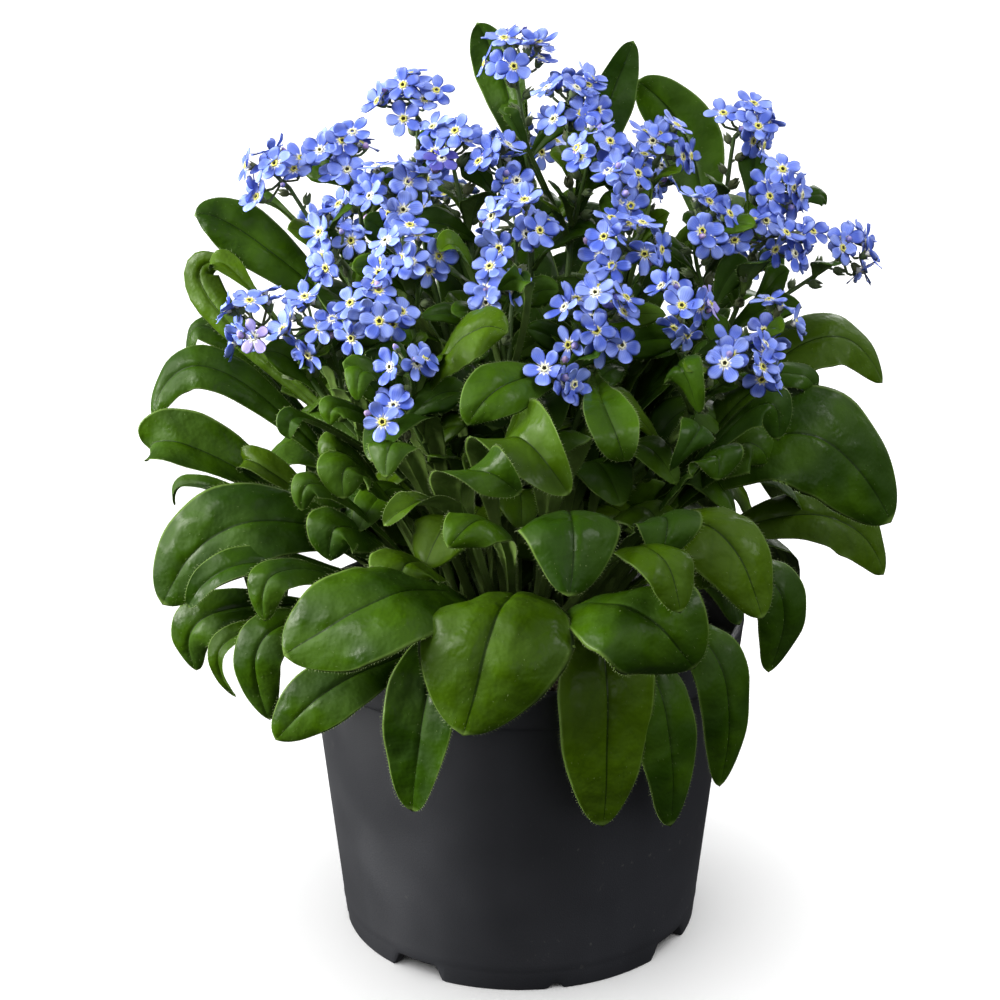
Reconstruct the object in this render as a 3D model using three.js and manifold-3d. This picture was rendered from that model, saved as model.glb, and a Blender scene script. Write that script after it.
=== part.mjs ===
// Forget-me-not (myosotis) growing in a round nursery pot.
// Units are millimetres and +Z is up. The origin is on the pot's axis, on the surface it stands on,
// and -Y is the front of the plant.

import * as THREE from 'three';
import { mergeVertices } from 'three/addons/utils/BufferGeometryUtils.js';
import Module from 'manifold-3d';

const wasm = await Module();
wasm.setup();

// Clearance between neighbouring pieces, and how exactly corners and flat faces are merged
const gap = 0.3;
const weldDistance = 1e-4;
const flatness = 0.01;

// Nursery pot
const potHeight = 88;
const lipRadius = 60;
const lipDepth = 10;
const bodyTopRadius = 56.6;
const bodyBaseRadius = 48.4;
const potWall = 1.2;
const baseRise = 4.5;
const potSides = 26;
// Notches between the feet: number, direction of the first from the front in degrees, and their sizes
const footNotches = {
  count: 8,
  first: -34,
  sizes: [
    { width: 26, height: 4 },
    { width: 7, height: 1.4 },
  ],
};
const drainHoles = { count: 4, radius: 4, circle: 30, sides: 6 };

// Soil
const soilTop = 80;
const soilRelief = 0.8;
const soilSides = 18;
const soilRings = [45, 31];
const soilEdgeDrop = 3;

// Crown that the basal leaves grow from, with the middle left free for the flowering stems
const crownInner = 15;
const crownOuter = 24;
const crownTop = 91;
const crownSink = 5;
const crownShoulder = 3;
const crownSides = 14;
// Heights of the leaf roots under the crown's top, from a low leaf to a high one
const leafRoots = { lowMiddle: 100, highMiddle: 160, lowDrop: 6, highDrop: 2 };

// Flowering stems
const stemHole = { radius: 3, depth: 22 };
const stemFootRadius = 1.5;
const stalkRadius = 0.8;
const stemFoot = 68;
const stemSides = 4;
const stemBend = { share: 0.42, rise: 0.12 };
const stalkKnee = { share: 0.3, drop: 8 };
// Rings along a stem: its soil line is at a quarter of the way and its fork at three quarters
const stemRings = [0, 0.25, 0.5, 0.625, 0.75, 1];
const forkShare = 0.75;

// Leaf blades
const bladeThickness = 0.9;
const petiole = { halfWidth: 1.3, neck: 0.24 };
const stemLeafNeck = 0.05;
const wideLeaf = 27;
const midribRelief = 0.06;
// Places of a blade's cross rows from root to tip, by the blade's width
const bladeRows = [
  { upTo: 10, stations: [0, 0.42, 0.68, 0.92, 1] },
  { upTo: 15, stations: [0, 0.36, 0.55, 0.76, 0.93, 1] },
  { upTo: Infinity, stations: [0, 0.34, 0.5, 0.68, 0.86, 0.96, 1] },
];

// Flowers
const corollaRadius = 5.1;
const corollaDepth = 1.2;
const pedicelRadius = 0.9;
const petals = 5;
const throatLift = 0.2;
// Share of a head's flowers that are fully open, and how far down its sides the flowers reach
const openShare = 0.5;
const headCover = 1.05;
const headSpread = 1;
// Size of the small core that a head's flower stalks run into, and its place under the head's centre
const coreShare = 0.3;
const coreDrop = 0.35;
// A head turns to this direction on the plant's axis, and outwards by as much again at this distance
const headLean = new THREE.Vector3(0, -0.5, 0.8);
const leanDistance = 90;
// Outline of one petal: place round the flower, reach and lift, from one notch to the next
const openPetal = [
  { turn: 0, reach: 0.5, lift: 0 },
  { turn: 0.27, reach: 0.95, lift: 0.4 },
  { turn: 0.73, reach: 0.95, lift: 0.4 },
];
const youngPetal = [
  { turn: 0, reach: 0.55, lift: 0.3 },
  { turn: 0.5, reach: 0.9, lift: 1.2 },
];

// Colours seen on the plant
const finish = {
  pot: new THREE.MeshStandardMaterial({ color: 0x23262b, roughness: 0.55, metalness: 0 }),
  soil: new THREE.MeshStandardMaterial({ color: 0x2b2019, roughness: 0.95, metalness: 0 }),
  basal: new THREE.MeshStandardMaterial({ color: 0x3f6318, roughness: 0.45, metalness: 0 }),
  stem: new THREE.MeshStandardMaterial({ color: 0x4d7220, roughness: 0.5, metalness: 0 }),
  petal: new THREE.MeshStandardMaterial({ color: 0x6f86dd, roughness: 0.6, metalness: 0 }),
};

// Basal leaves: tip x, y, z, middle of the midrib x, y, z, blade width, roll about the midrib in degrees
// and cup of the blade (above zero its edges turn up)
const basalLeaves = [
  [-55, -72, 103, -22, -66, 117, 28, -20, -0.08],
  [-13, -86, 89, -3, -72, 117, 36, 0, -0.12],
  [-26, -68, 61, -19, -64, 100, 18, 0, 0.12],
  [20, -70, 58, 19, -66, 103, 24, 0, -0.08],
  [37, -62, 54, 31, -60, 96, 18, 0, -0.1],
  [50, -50, 59, 45, -52, 99, 15, 20, -0.1],
  [40, -80, 103, 20, -74, 117, 29, 15, -0.08],
  [11, -92, 125, 11, -70, 137, 23, 0, -0.15],
  [-16, -82, 133, -5, -66, 132, 14, -20, -0.2],
  [-31, -72, 135, -16, -58, 133, 9, 0, 0.2],
  [0, -80, 145, -14, -66, 142, 14, 20, 0.15],
  [11, -74, 143, -5, -55, 148, 17, 30, 0.3],
  [6, -58, 147, 8, -42, 143, 18, 0, -0.1],
  [36, -86, 119, 26, -70, 129, 15, 0, -0.1],
  [57, -66, 110, 38, -54, 130, 21, 20, -0.12],
  [63, -36, 84, 59, -36, 110, 17, 30, -0.1],
  [95, -18, 118, 61, -22, 141, 30, 50, -0.1],
  [98, 4, 96, 72, 0, 114, 18, 45, -0.08],
  [95, 5, 149, 66, 0, 156, 17, 40, -0.1],
  [-89, -38, 103, -58, -40, 126, 24, -50, -0.06],
  [-81, -48, 106, -57, -46, 117, 9, -30, 0.1],
  [-61, -60, 107, -51, -54, 118, 12, -20, -0.1],
  [-83, -30, 82, -71, -34, 101, 14, -40, -0.06],
  [-72, -38, 78, -67, -40, 97, 7, -20, 0.1],
  [-62, -50, 77, -57, -52, 103, 14, -30, -0.08],
  [-59, -62, 77, -36, -60, 95, 16, -30, -0.08],
  [-96, -6, 134, -74, -12, 131, 16, -45, 0.25],
  [-96, 0, 141, -70, -6, 151, 13, -50, -0.12],
  [-94, 15, 112, -77, 10, 117, 6, -20, 0.1],
  [-88, 15, 147, -74, 12, 157, 10, -30, -0.15],
  [-72, -8, 130, -58, -16, 127, 9, -30, 0.1],
  [-42, -52, 135, -36, -42, 137, 15, -30, -0.1],
  [-52, -52, 132, -43, -46, 134, 9, -30, -0.1],
  [-31, -64, 144, -26, -50, 144, 12, 0, -0.1],
  [47, -50, 139, 41, -40, 138, 16, 20, -0.1],
  [63, -36, 145, 52, -32, 148, 14, 30, -0.1],
  [32, -74, 127, 31, -60, 132, 16, 10, -0.1],
  [-28, -62, 113, -24, -52, 119, 18, -20, -0.1],
  [43, -60, 115, 38, -52, 119, 16, 20, -0.1],
  [-46, -48, 118, -39, -44, 124, 16, -30, -0.1],
  [72, -6, 148, 52, -12, 144, 20, 30, -0.1],
  [60, 20, 158, 44, 14, 146, 18, 30, -0.1],
  [62, -26, 136, 48, -25, 136, 18, 30, -0.1],
  [-64, 8, 151, -48, 3, 144, 18, -30, -0.1],
  [-56, 24, 160, -40, 16, 148, 18, -30, -0.1],
  [-48, -30, 137, -38, -28, 134, 16, -30, -0.1],
];

// Basal leaves of the plant's far side, spread by rule between two directions about the axis
const farLeaves = {
  count: 14,
  from: 100,
  to: 262,
  tiers: [
    { reach: 76, height: 66, middle: 0.92, rise: 40 },
    { reach: 92, height: 98, middle: 0.78, rise: 22 },
    { reach: 88, height: 128, middle: 0.72, rise: 18 },
  ],
  width: 24,
  spread: { reach: 6, turn: 0.2, height: 8, width: 8, roll: 16 },
  cup: -0.1,
};

// Basal leaves that stand up inside the others, all round
const innerLeaves = {
  count: 11,
  reach: 56,
  height: 122,
  middle: 0.72,
  rise: 8,
  width: 19,
  spread: { reach: 8, turn: 0.15, height: 16, width: 6, roll: 24 },
  cup: -0.1,
};

// Flowering stems: foot in the soil, fork where the stalks part, the heads they carry, and the stem's
// leaves. A head is its centre x, y, z, its half sizes across and up, and its number of flowers.
// A leaf is the share of the stem's way that it sits at, one of the stem's rings, then the same numbers
// as a basal leaf.
const floweringStems = [
  {
    foot: [-9, -5],
    fork: [-44, -22, 146],
    heads: [[-65, -22, 171, 8, 8, 5], [-50, -29, 172, 8, 8, 5], [-45, -15, 186, 7, 8, 4]],
    leaves: [
      [0.75, -79, -2, 180, -69, -5, 177, 8, -30, 0.1],
      [0.625, -76, 10, 180, -80, 10, 168, 10, -70, -0.15],
      [0.625, -56, -38, 146, -52, -34, 150, 7, -30, 0.1],
      [0.75, -53, -32, 162, -48, -28, 162, 9, -30, 0.1],
    ],
  },
  {
    foot: [-11, 1],
    fork: [-42, 4, 172],
    heads: [[-62, 5, 203, 8, 8, 5], [-45, 6, 207, 8, 8, 5]],
    leaves: [
      [0.625, -83, 5, 193, -65, 4, 185, 15, -60, -0.1],
      [0.75, -71, 20, 191, -63, 18, 193, 6, -30, 0.1],
    ],
  },
  {
    foot: [-8, 7],
    fork: [-25, 12, 186],
    heads: [[-28, 12, 221, 9, 7, 6]],
    leaves: [],
  },
  {
    foot: [-4.5, 2.5],
    fork: [-12, 2, 182],
    heads: [[-18, 1, 210, 7, 7, 5], [-5, -5, 205, 6, 8, 4]],
    leaves: [],
  },
  {
    foot: [-6.5, -1.5],
    fork: [-27, -13, 168],
    heads: [[-32, -6, 200, 9, 8, 6], [-27, -28, 188, 8, 8, 6]],
    leaves: [],
  },
  {
    foot: [0, 7],
    fork: [3, 14, 196],
    heads: [[-1, 14, 231, 8, 8, 6]],
    leaves: [[0.75, -11, 28, 239, -3, 27, 226, 10, -70, 0.15]],
  },
  {
    foot: [3, 3],
    fork: [13, 5, 186],
    heads: [[13, 6, 221, 8, 8, 6], [18, -5, 211, 7, 6, 4]],
    leaves: [
      [0.75, 28, 22, 234, 21, 18, 225, 10, 60, 0.15],
      [0.75, -3, 2, 219, 1, 2, 212, 6, -50, 0.1],
    ],
  },
  {
    foot: [6.5, 0],
    fork: [26, -6, 174],
    heads: [[25, -14, 203, 5, 6, 3], [36, 1, 210, 7, 7, 4]],
    leaves: [[0.625, 32, -5, 203, 30, -8, 191, 8, 20, 0.1]],
  },
  {
    foot: [8.5, 6.5],
    fork: [49, 8, 178],
    heads: [[57, 8, 215, 8, 6, 5], [64, -4, 201, 7, 7, 5]],
    leaves: [
      [0.75, 31, 30, 224, 45, 27, 206, 16, -60, -0.1],
      [0.75, 79, 10, 195, 71, 8, 196, 8, 30, -0.1],
    ],
  },
  {
    foot: [10.5, 1],
    fork: [52, -6, 164],
    heads: [[61, -14, 190, 12, 6, 7], [83, -5, 185, 6, 7, 4], [45, -19, 195, 7, 7, 4]],
    leaves: [[0.625, 75, -10, 149, 67, -12, 156, 10, 30, -0.1]],
  },
  {
    foot: [3, -4.5],
    fork: [18, -26, 160],
    heads: [[25, -27, 191, 10, 7, 6], [18, -43, 176, 9, 9, 7], [9, -50, 165, 5, 4, 2]],
    leaves: [
      [0.75, -12, -62, 156, -1, -56, 165, 14, -40, -0.1],
      [0.75, 24, -68, 149, 20, -62, 159, 12, 10, 0.12],
    ],
  },
  {
    foot: [8.5, -5.5],
    fork: [42, -28, 150],
    heads: [[38, -42, 179, 7, 7, 4], [53, -45, 166, 8, 6, 5], [62, -24, 171, 6, 6, 3]],
    leaves: [
      [0.75, 42, -52, 156, 37, -48, 167, 11, 40, -0.15],
      [0.625, 35, -62, 145, 42, -54, 154, 9, -30, -0.1],
    ],
  },
  {
    foot: [-1, -8],
    fork: [-3, -28, 156],
    heads: [[-1, -24, 195, 8, 8, 6], [-6, -35, 182, 5, 6, 3]],
    leaves: [
      [0.75, -5, -45, 184, 2, -42, 183, 7, -40, 0.1],
      [0.75, -19, -34, 191, -12, -30, 187, 8, -30, 0.1],
    ],
  },
  {
    foot: [-6, -8],
    fork: [-26, -32, 148],
    heads: [[-35, -38, 176, 7, 8, 5], [-27, -50, 168, 5, 5, 2], [-32, -54, 156, 5, 4, 2]],
    leaves: [
      [0.75, -3, -50, 175, -15, -46, 172, 16, 50, -0.12],
      [0.75, -38, -52, 159, -36, -47, 165, 8, -20, -0.1],
      [0.625, -45, -48, 152, -40, -44, 155, 9, -30, -0.1],
    ],
  },
  {
    foot: [-5.5, 10],
    fork: [-36, 34, 156],
    heads: [[-48, 33, 184, 8, 8, 4], [-24, 42, 190, 8, 8, 4]],
    leaves: [
      [0.625, -66, 44, 168, -52, 36, 168, 12, 0, -0.1],
      [0.5, -34, 66, 158, -30, 48, 158, 12, 0, -0.1],
    ],
  },
  {
    foot: [2.5, 10.5],
    fork: [8, 36, 160],
    heads: [[2, 40, 205, 8, 8, 4], [14, 56, 178, 8, 8, 4]],
    leaves: [
      [0.625, -12, 62, 176, -2, 46, 174, 13, 0, -0.1],
      [0.5, 12, 70, 158, 8, 52, 157, 12, 0, -0.1],
    ],
  },
  {
    foot: [7.5, 9],
    fork: [42, 32, 158],
    heads: [[34, 40, 196, 8, 8, 4], [58, 34, 180, 8, 8, 4]],
    leaves: [
      [0.625, 70, 48, 160, 56, 40, 164, 12, 0, -0.1],
      [0.5, 46, 62, 150, 38, 46, 150, 12, 0, -0.1],
    ],
  },
];

// A repeatable number from 0 to 1 for each index and each of its uses
function jitter(index, use) {
  const wave = Math.sin(index * 12.9898 + use * 78.233) * 43758.5453;
  return wave - Math.floor(wave);
}

// A repeatable step either way within a spread
function scatter(spread, index, use) {
  return spread * (jitter(index, use) - 0.5);
}

function toSolid(geometry) {
  const bare = geometry.clone();
  bare.deleteAttribute('normal');
  bare.deleteAttribute('uv');
  const welded = mergeVertices(bare, weldDistance);
  return new wasm.Manifold(
    new wasm.Mesh({
      numProp: 3,
      vertProperties: Float32Array.from(welded.attributes.position.array),
      triVerts: Uint32Array.from(welded.index.array),
    }),
  );
}

function toGeometry(solid) {
  const mesh = solid.getMesh();
  const geometry = new THREE.BufferGeometry();
  geometry.setAttribute('position', new THREE.BufferAttribute(mesh.vertProperties, 3));
  geometry.setIndex(new THREE.BufferAttribute(mesh.triVerts, 1));
  geometry.computeVertexNormals();
  return geometry;
}

// Joins solids that grow together and keeps the one body they form, without loose scraps or hollows
function grownTogether(solids) {
  const joined = solids.reduce((sum, solid) => sum.add(solid));
  const bodies = joined.decompose();
  bodies.sort((a, b) => b.volume() - a.volume());
  return bodies[0].simplify(flatness);
}

function closedGeometry(points, faces) {
  const geometry = new THREE.BufferGeometry();
  const coordinates = points.flatMap((point) => [point.x, point.y, point.z]);
  geometry.setAttribute('position', new THREE.Float32BufferAttribute(coordinates, 3));
  geometry.setIndex(faces.flat());
  return geometry;
}

function potProfile() {
  const inner = (radius) => radius - potWall;
  const outline = [
    [0, baseRise],
    [bodyBaseRadius - 3 * potWall, baseRise],
    [bodyBaseRadius - 2 * potWall, 0],
    [bodyBaseRadius, 0],
    [bodyTopRadius, potHeight - lipDepth],
    [lipRadius - 1, potHeight - lipDepth],
    [lipRadius, potHeight - 1],
    [lipRadius - 0.6, potHeight],
    [lipRadius - 2, potHeight],
    [inner(bodyTopRadius), potHeight - lipDepth - 2],
    [inner(bodyBaseRadius) - 0.6, baseRise + potWall],
    [0, baseRise + potWall],
  ];
  return outline.map(([radius, height]) => new THREE.Vector2(radius, height));
}

// Thin moulded pot, its foot notched between low feet and its base pierced for drainage
function pot() {
  const shell = new THREE.LatheGeometry(potProfile(), potSides);
  shell.rotateX(Math.PI / 2);
  let solid = toSolid(shell);
  for (let i = 0; i < footNotches.count; i++) {
    const turn = THREE.MathUtils.degToRad(footNotches.first + (i * 360) / footNotches.count);
    const { width, height } = footNotches.sizes[i % footNotches.sizes.length];
    const block = new THREE.CylinderGeometry(width * 0.35, width * 0.5, 2 * height, 4, 1);
    block.rotateY(Math.PI / 4);
    block.rotateX(Math.PI / 2);
    block.translate(0, -bodyBaseRadius, 0);
    block.rotateZ(turn);
    solid = solid.subtract(toSolid(block));
  }
  const { count, radius, circle, sides } = drainHoles;
  for (let i = 0; i < count; i++) {
    const hole = new THREE.CylinderGeometry(radius, radius, 4 * potWall, sides);
    hole.rotateX(Math.PI / 2);
    hole.translate(0, -circle, baseRise + potWall / 2);
    hole.rotateZ(((i + 0.5) / count) * Math.PI * 2);
    solid = solid.subtract(toSolid(hole));
  }
  return solid;
}

// Soil filling the pot, its top uneven, with a plain hole for each stem and a groove for the crown
function soil() {
  const side = potWall + 2 * gap;
  const floor = baseRise + potWall + gap;
  const radiusAt = (height) => {
    const share = height / (potHeight - lipDepth);
    return bodyBaseRadius + (bodyTopRadius - bodyBaseRadius) * share - side;
  };
  const outline = [
    new THREE.Vector2(0, floor),
    new THREE.Vector2(radiusAt(floor) - 1, floor),
    new THREE.Vector2(radiusAt(soilTop - 2 * soilEdgeDrop), soilTop - soilEdgeDrop),
    ...soilRings.map((radius) => new THREE.Vector2(radius, soilTop)),
    new THREE.Vector2(0, soilTop + 1),
  ];
  const bed = new THREE.LatheGeometry(outline, soilSides);
  const spots = bed.attributes.position;
  for (let i = 0; i < spots.count; i++) {
    const radius = Math.hypot(spots.getX(i), spots.getZ(i));
    const height = spots.getY(i);
    if (height > floor + 1 && radius > 1) {
      const angle = Math.atan2(spots.getX(i), spots.getZ(i));
      const lump = Math.sin(5 * angle + radius) + Math.sin(9 * angle - 0.7 * radius);
      spots.setY(i, height + soilRelief * lump);
    }
  }
  bed.rotateX(Math.PI / 2);
  let solid = toSolid(bed);
  for (const stem of floweringStems) {
    const hole = new THREE.CylinderGeometry(stemHole.radius, stemHole.radius, stemHole.depth, stemSides);
    hole.rotateX(Math.PI / 2);
    hole.translate(stem.foot[0], stem.foot[1], stemFoot - gap + stemHole.depth / 2);
    solid = solid.subtract(toSolid(hole));
  }
  return solid.subtract(toSolid(crownRing(gap)));
}

// Ring of leaf bases, grown outwards on all sides by the clearance when it cuts its groove
function crownRing(clearance) {
  const foot = soilTop - crownSink - clearance;
  const top = crownTop + clearance;
  const inner = crownInner - clearance;
  const outer = crownOuter + clearance;
  const outline = [
    [inner, foot],
    [outer, foot],
    [outer + 1, (foot + top) / 2],
    [outer - crownShoulder, top],
    [inner, top - 1],
    [inner, foot],
  ];
  const ring = new THREE.LatheGeometry(
    outline.map(([radius, height]) => new THREE.Vector2(radius, height)),
    crownSides,
  );
  ring.rotateX(Math.PI / 2);
  return ring;
}

// Half width of a blade, as a share of its greatest, at a share of the way from root to tip.
// The neck is where the stalk-like foot of the leaf ends.
function bladeShape(share, neck) {
  if (share <= neck) {
    return 0;
  }
  const along = (share - neck) / (1 - neck);
  return Math.sin(Math.PI * along ** 1.6) ** 0.55;
}

// A leaf as one closed blade bent along its midrib, thickest at the midrib and thin at its edges.
// Both faces are split into triangles alike.
function leafBlade({ root, row: leaf, neck, stalk }) {
  const [tipX, tipY, tipZ, midX, midY, midZ, width, roll, cup] = leaf;
  const tip = new THREE.Vector3(tipX, tipY, tipZ);
  const middle = new THREE.Vector3(midX, midY, midZ);
  const bend = middle.clone().multiplyScalar(2).addScaledVector(root, -0.5).addScaledVector(tip, -0.5);
  const midrib = new THREE.QuadraticBezierCurve3(root, bend, tip);
  const outward = new THREE.Vector3().subVectors(tip, root).setZ(0).normalize();
  const sideways = new THREE.Vector3(-outward.y, outward.x, 0);
  const across = width > wideLeaf ? 5 : 3;
  const { stations } = bladeRows.find(({ upTo }) => width <= upTo);
  const turn = THREE.MathUtils.degToRad(roll);
  const places = across === 5 ? [-1, -0.5, 0, 0.5, 1] : [-1, 0, 1];
  const fold = midribRelief + cup * 0.2;
  const reliefs = across === 5 ? [cup, fold, 0, fold, cup] : [cup, 0, cup];
  const points = [];
  const topRows = [];
  const underRows = [];
  stations.forEach((share, row) => {
    const centre = midrib.getPoint(share);
    if (row === stations.length - 1) {
      points.push(centre);
      return;
    }
    const along = midrib.getTangent(share);
    const side = sideways.clone().addScaledVector(along, -sideways.dot(along)).normalize();
    side.applyAxisAngle(along, turn);
    const up = new THREE.Vector3().crossVectors(side, along).negate();
    const half = row === 0 ? stalk : Math.max(stalk, (width / 2) * bladeShape(share, neck));
    const thickness = row === 0 ? stalk * 1.4 : bladeThickness;
    const spot = (place, relief, drop) =>
      centre.clone().addScaledVector(side, place * half).addScaledVector(up, relief * half * 2 - drop);
    const topRow = [];
    const underRow = [];
    places.forEach((place, column) => {
      const edge = column === 0 || column === places.length - 1;
      topRow.push(points.push(spot(place, reliefs[column], edge ? thickness / 2 : 0)) - 1);
      underRow.push(edge ? topRow[column] : points.push(spot(place, reliefs[column], thickness)) - 1);
    });
    topRows.push(topRow);
    underRows.push(underRow);
  });
  const tipPoint = points.length - 1;
  const faces = [];
  const split = (a, b, c, d, left) => {
    if (left) {
      faces.push([c, b, a], [d, c, a]);
    } else {
      faces.push([d, b, a], [d, c, b]);
    }
  };
  const last = topRows.length - 1;
  for (let column = 0; column < places.length - 1; column++) {
    const left = column < (places.length - 1) / 2;
    for (let row = 0; row < last; row++) {
      const [t0, t1] = [topRows[row], topRows[row + 1]];
      const [u0, u1] = [underRows[row], underRows[row + 1]];
      split(t0[column], t0[column + 1], t1[column + 1], t1[column], left);
      split(u0[column + 1], u0[column], u1[column], u1[column + 1], !left);
    }
    faces.push([topRows[last][column + 1], topRows[last][column], tipPoint]);
    faces.push([underRows[last][column], underRows[last][column + 1], tipPoint]);
    const [t, u] = [topRows[0], underRows[0]];
    const foot = [t[column], u[column], u[column + 1], t[column + 1]];
    if (column === 0) {
      faces.push([foot[3], foot[2], foot[0]]);
    } else if (column === places.length - 2) {
      faces.push([foot[2], foot[1], foot[0]]);
    } else {
      faces.push([foot[2], foot[1], foot[0]], [foot[3], foot[2], foot[0]]);
    }
  }
  return closedGeometry(points, faces);
}

function basalLeaf(row) {
  const direction = Math.atan2(row[3], -row[4]);
  const radius = (crownInner + crownOuter) / 2;
  const { lowMiddle, highMiddle, lowDrop, highDrop } = leafRoots;
  const drop = THREE.MathUtils.mapLinear(row[5], lowMiddle, highMiddle, lowDrop, highDrop);
  const [x, y] = [radius * Math.sin(direction), -radius * Math.cos(direction)];
  const root = new THREE.Vector3(x, y, crownTop - drop);
  return leafBlade({ root, row, neck: petiole.neck, stalk: petiole.halfWidth });
}

// Row of the basal leaves' table for a leaf placed by rule
function ruledLeaf({ turn, reach, height, middle, rise, width, spread, cup }, index) {
  const middleTurn = turn + scatter(spread.turn, index, 1);
  const out = reach + scatter(spread.reach, index, 2);
  const lift = scatter(spread.height, index, 3);
  return [
    out * Math.sin(turn),
    -out * Math.cos(turn),
    height + lift,
    out * middle * Math.sin(middleTurn),
    -out * middle * Math.cos(middleTurn),
    height + rise + lift,
    width + scatter(spread.width, index, 4),
    scatter(spread.roll, index, 5),
    cup,
  ];
}

function farLeaf(index) {
  const { count, from, to, tiers } = farLeaves;
  const turn = THREE.MathUtils.degToRad(from + ((to - from) * (index + 0.5)) / count);
  return ruledLeaf({ ...farLeaves, ...tiers[index % tiers.length], turn }, index);
}

function innerLeaf(index) {
  const turn = ((index + jitter(index, 6) / 3) / innerLeaves.count) * Math.PI * 2;
  return ruledLeaf({ ...innerLeaves, turn }, index + farLeaves.count);
}

function rosette() {
  const leaves = basalLeaves.map(basalLeaf);
  for (let i = 0; i < farLeaves.count; i++) {
    leaves.push(basalLeaf(farLeaf(i)));
  }
  for (let i = 0; i < innerLeaves.count; i++) {
    leaves.push(basalLeaf(innerLeaf(i)));
  }
  return grownTogether([toSolid(crownRing(0)), ...leaves.map(toSolid)]);
}

// Closed rod along a curve, tapering from its foot to its end, with a ring at each given share of it
function taperedRod(curve, shares, sides, footRadius, endRadius) {
  const points = [];
  for (const share of shares) {
    const along = curve.getTangent(share);
    const across = new THREE.Vector3(0, 1, 0).cross(along).normalize();
    const beside = new THREE.Vector3().crossVectors(along, across);
    const radius = THREE.MathUtils.lerp(footRadius, endRadius, share);
    for (let side = 0; side < sides; side++) {
      const angle = (side / sides) * Math.PI * 2;
      const spot = curve.getPoint(share);
      spot.addScaledVector(across, radius * Math.cos(angle));
      spot.addScaledVector(beside, radius * Math.sin(angle));
      points.push(spot);
    }
  }
  const faces = [];
  const lastRing = (shares.length - 1) * sides;
  for (let ring = 0; ring < lastRing; ring += sides) {
    for (let side = 0; side < sides; side++) {
      const next = (side + 1) % sides;
      const [a, b] = [ring + side, ring + next];
      faces.push([a, b, b + sides], [a, b + sides, a + sides]);
    }
  }
  for (let side = 1; side < sides - 1; side++) {
    faces.push([0, side + 1, side]);
    faces.push([lastRing, lastRing + side, lastRing + side + 1]);
  }
  return closedGeometry(points, faces);
}

// Direction that a head turns to: up, and out from the plant's axis
function headFacing(centre) {
  const out = new THREE.Vector3(centre.x, centre.y, 0).divideScalar(leanDistance);
  return out.add(headLean).normalize();
}

// Turn that takes +Z to a direction
function turnTo(direction) {
  return new THREE.Quaternion().setFromUnitVectors(new THREE.Vector3(0, 0, 1), direction);
}

// Half sizes of the dome that a head's flowers sit on, and the core that their stalks run into
function headForm([x, y, z, across, up]) {
  const centre = new THREE.Vector3(x, y, z);
  const facing = headFacing(centre);
  const half = new THREE.Vector3(across, Math.min(across, up), up).multiplyScalar(headSpread);
  const root = centre.clone().addScaledVector(facing, -coreDrop * up);
  return { centre, facing, half, root, coreRadius: coreShare * Math.min(across, up) };
}

// Where a head's stalk ends, just under its core
function stalkEnd(head) {
  const { facing, root, coreRadius } = headForm(head);
  return root.addScaledVector(facing, -coreRadius - gap);
}

// The stem runs through its fork up to its first head, and the other heads' stalks part at the fork
function floweringStem({ foot, fork, heads, leaves }) {
  const [x, y] = foot;
  const bend = new THREE.Vector3(x, y, crownTop).lerp(new THREE.Vector3(...fork), stemBend.share);
  bend.z = THREE.MathUtils.lerp(crownTop, fork[2], stemBend.share + stemBend.rise);
  const path = new THREE.CatmullRomCurve3([
    new THREE.Vector3(x, y, stemFoot),
    new THREE.Vector3(x, y, crownTop),
    bend,
    new THREE.Vector3(...fork),
    stalkEnd(heads[0]),
  ]);
  const solids = [toSolid(taperedRod(path, stemRings, stemSides, stemFootRadius, stalkRadius))];
  for (const head of heads.slice(1)) {
    const end = stalkEnd(head);
    const { facing } = headForm(head);
    const start = path.getPoint(forkShare);
    const knee = end.clone().addScaledVector(facing, -stalkKnee.drop).lerp(start, stalkKnee.share);
    const stalk = new THREE.QuadraticBezierCurve3(start, knee, end);
    solids.push(toSolid(taperedRod(stalk, [0, 0.5, 1], 3, stalkRadius * 1.2, stalkRadius)));
  }
  for (const [share, ...row] of leaves) {
    const root = path.getPoint(share);
    solids.push(toSolid(leafBlade({ root, row, neck: stemLeafNeck, stalk: stalkRadius })));
  }
  return grownTogether(solids);
}

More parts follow.
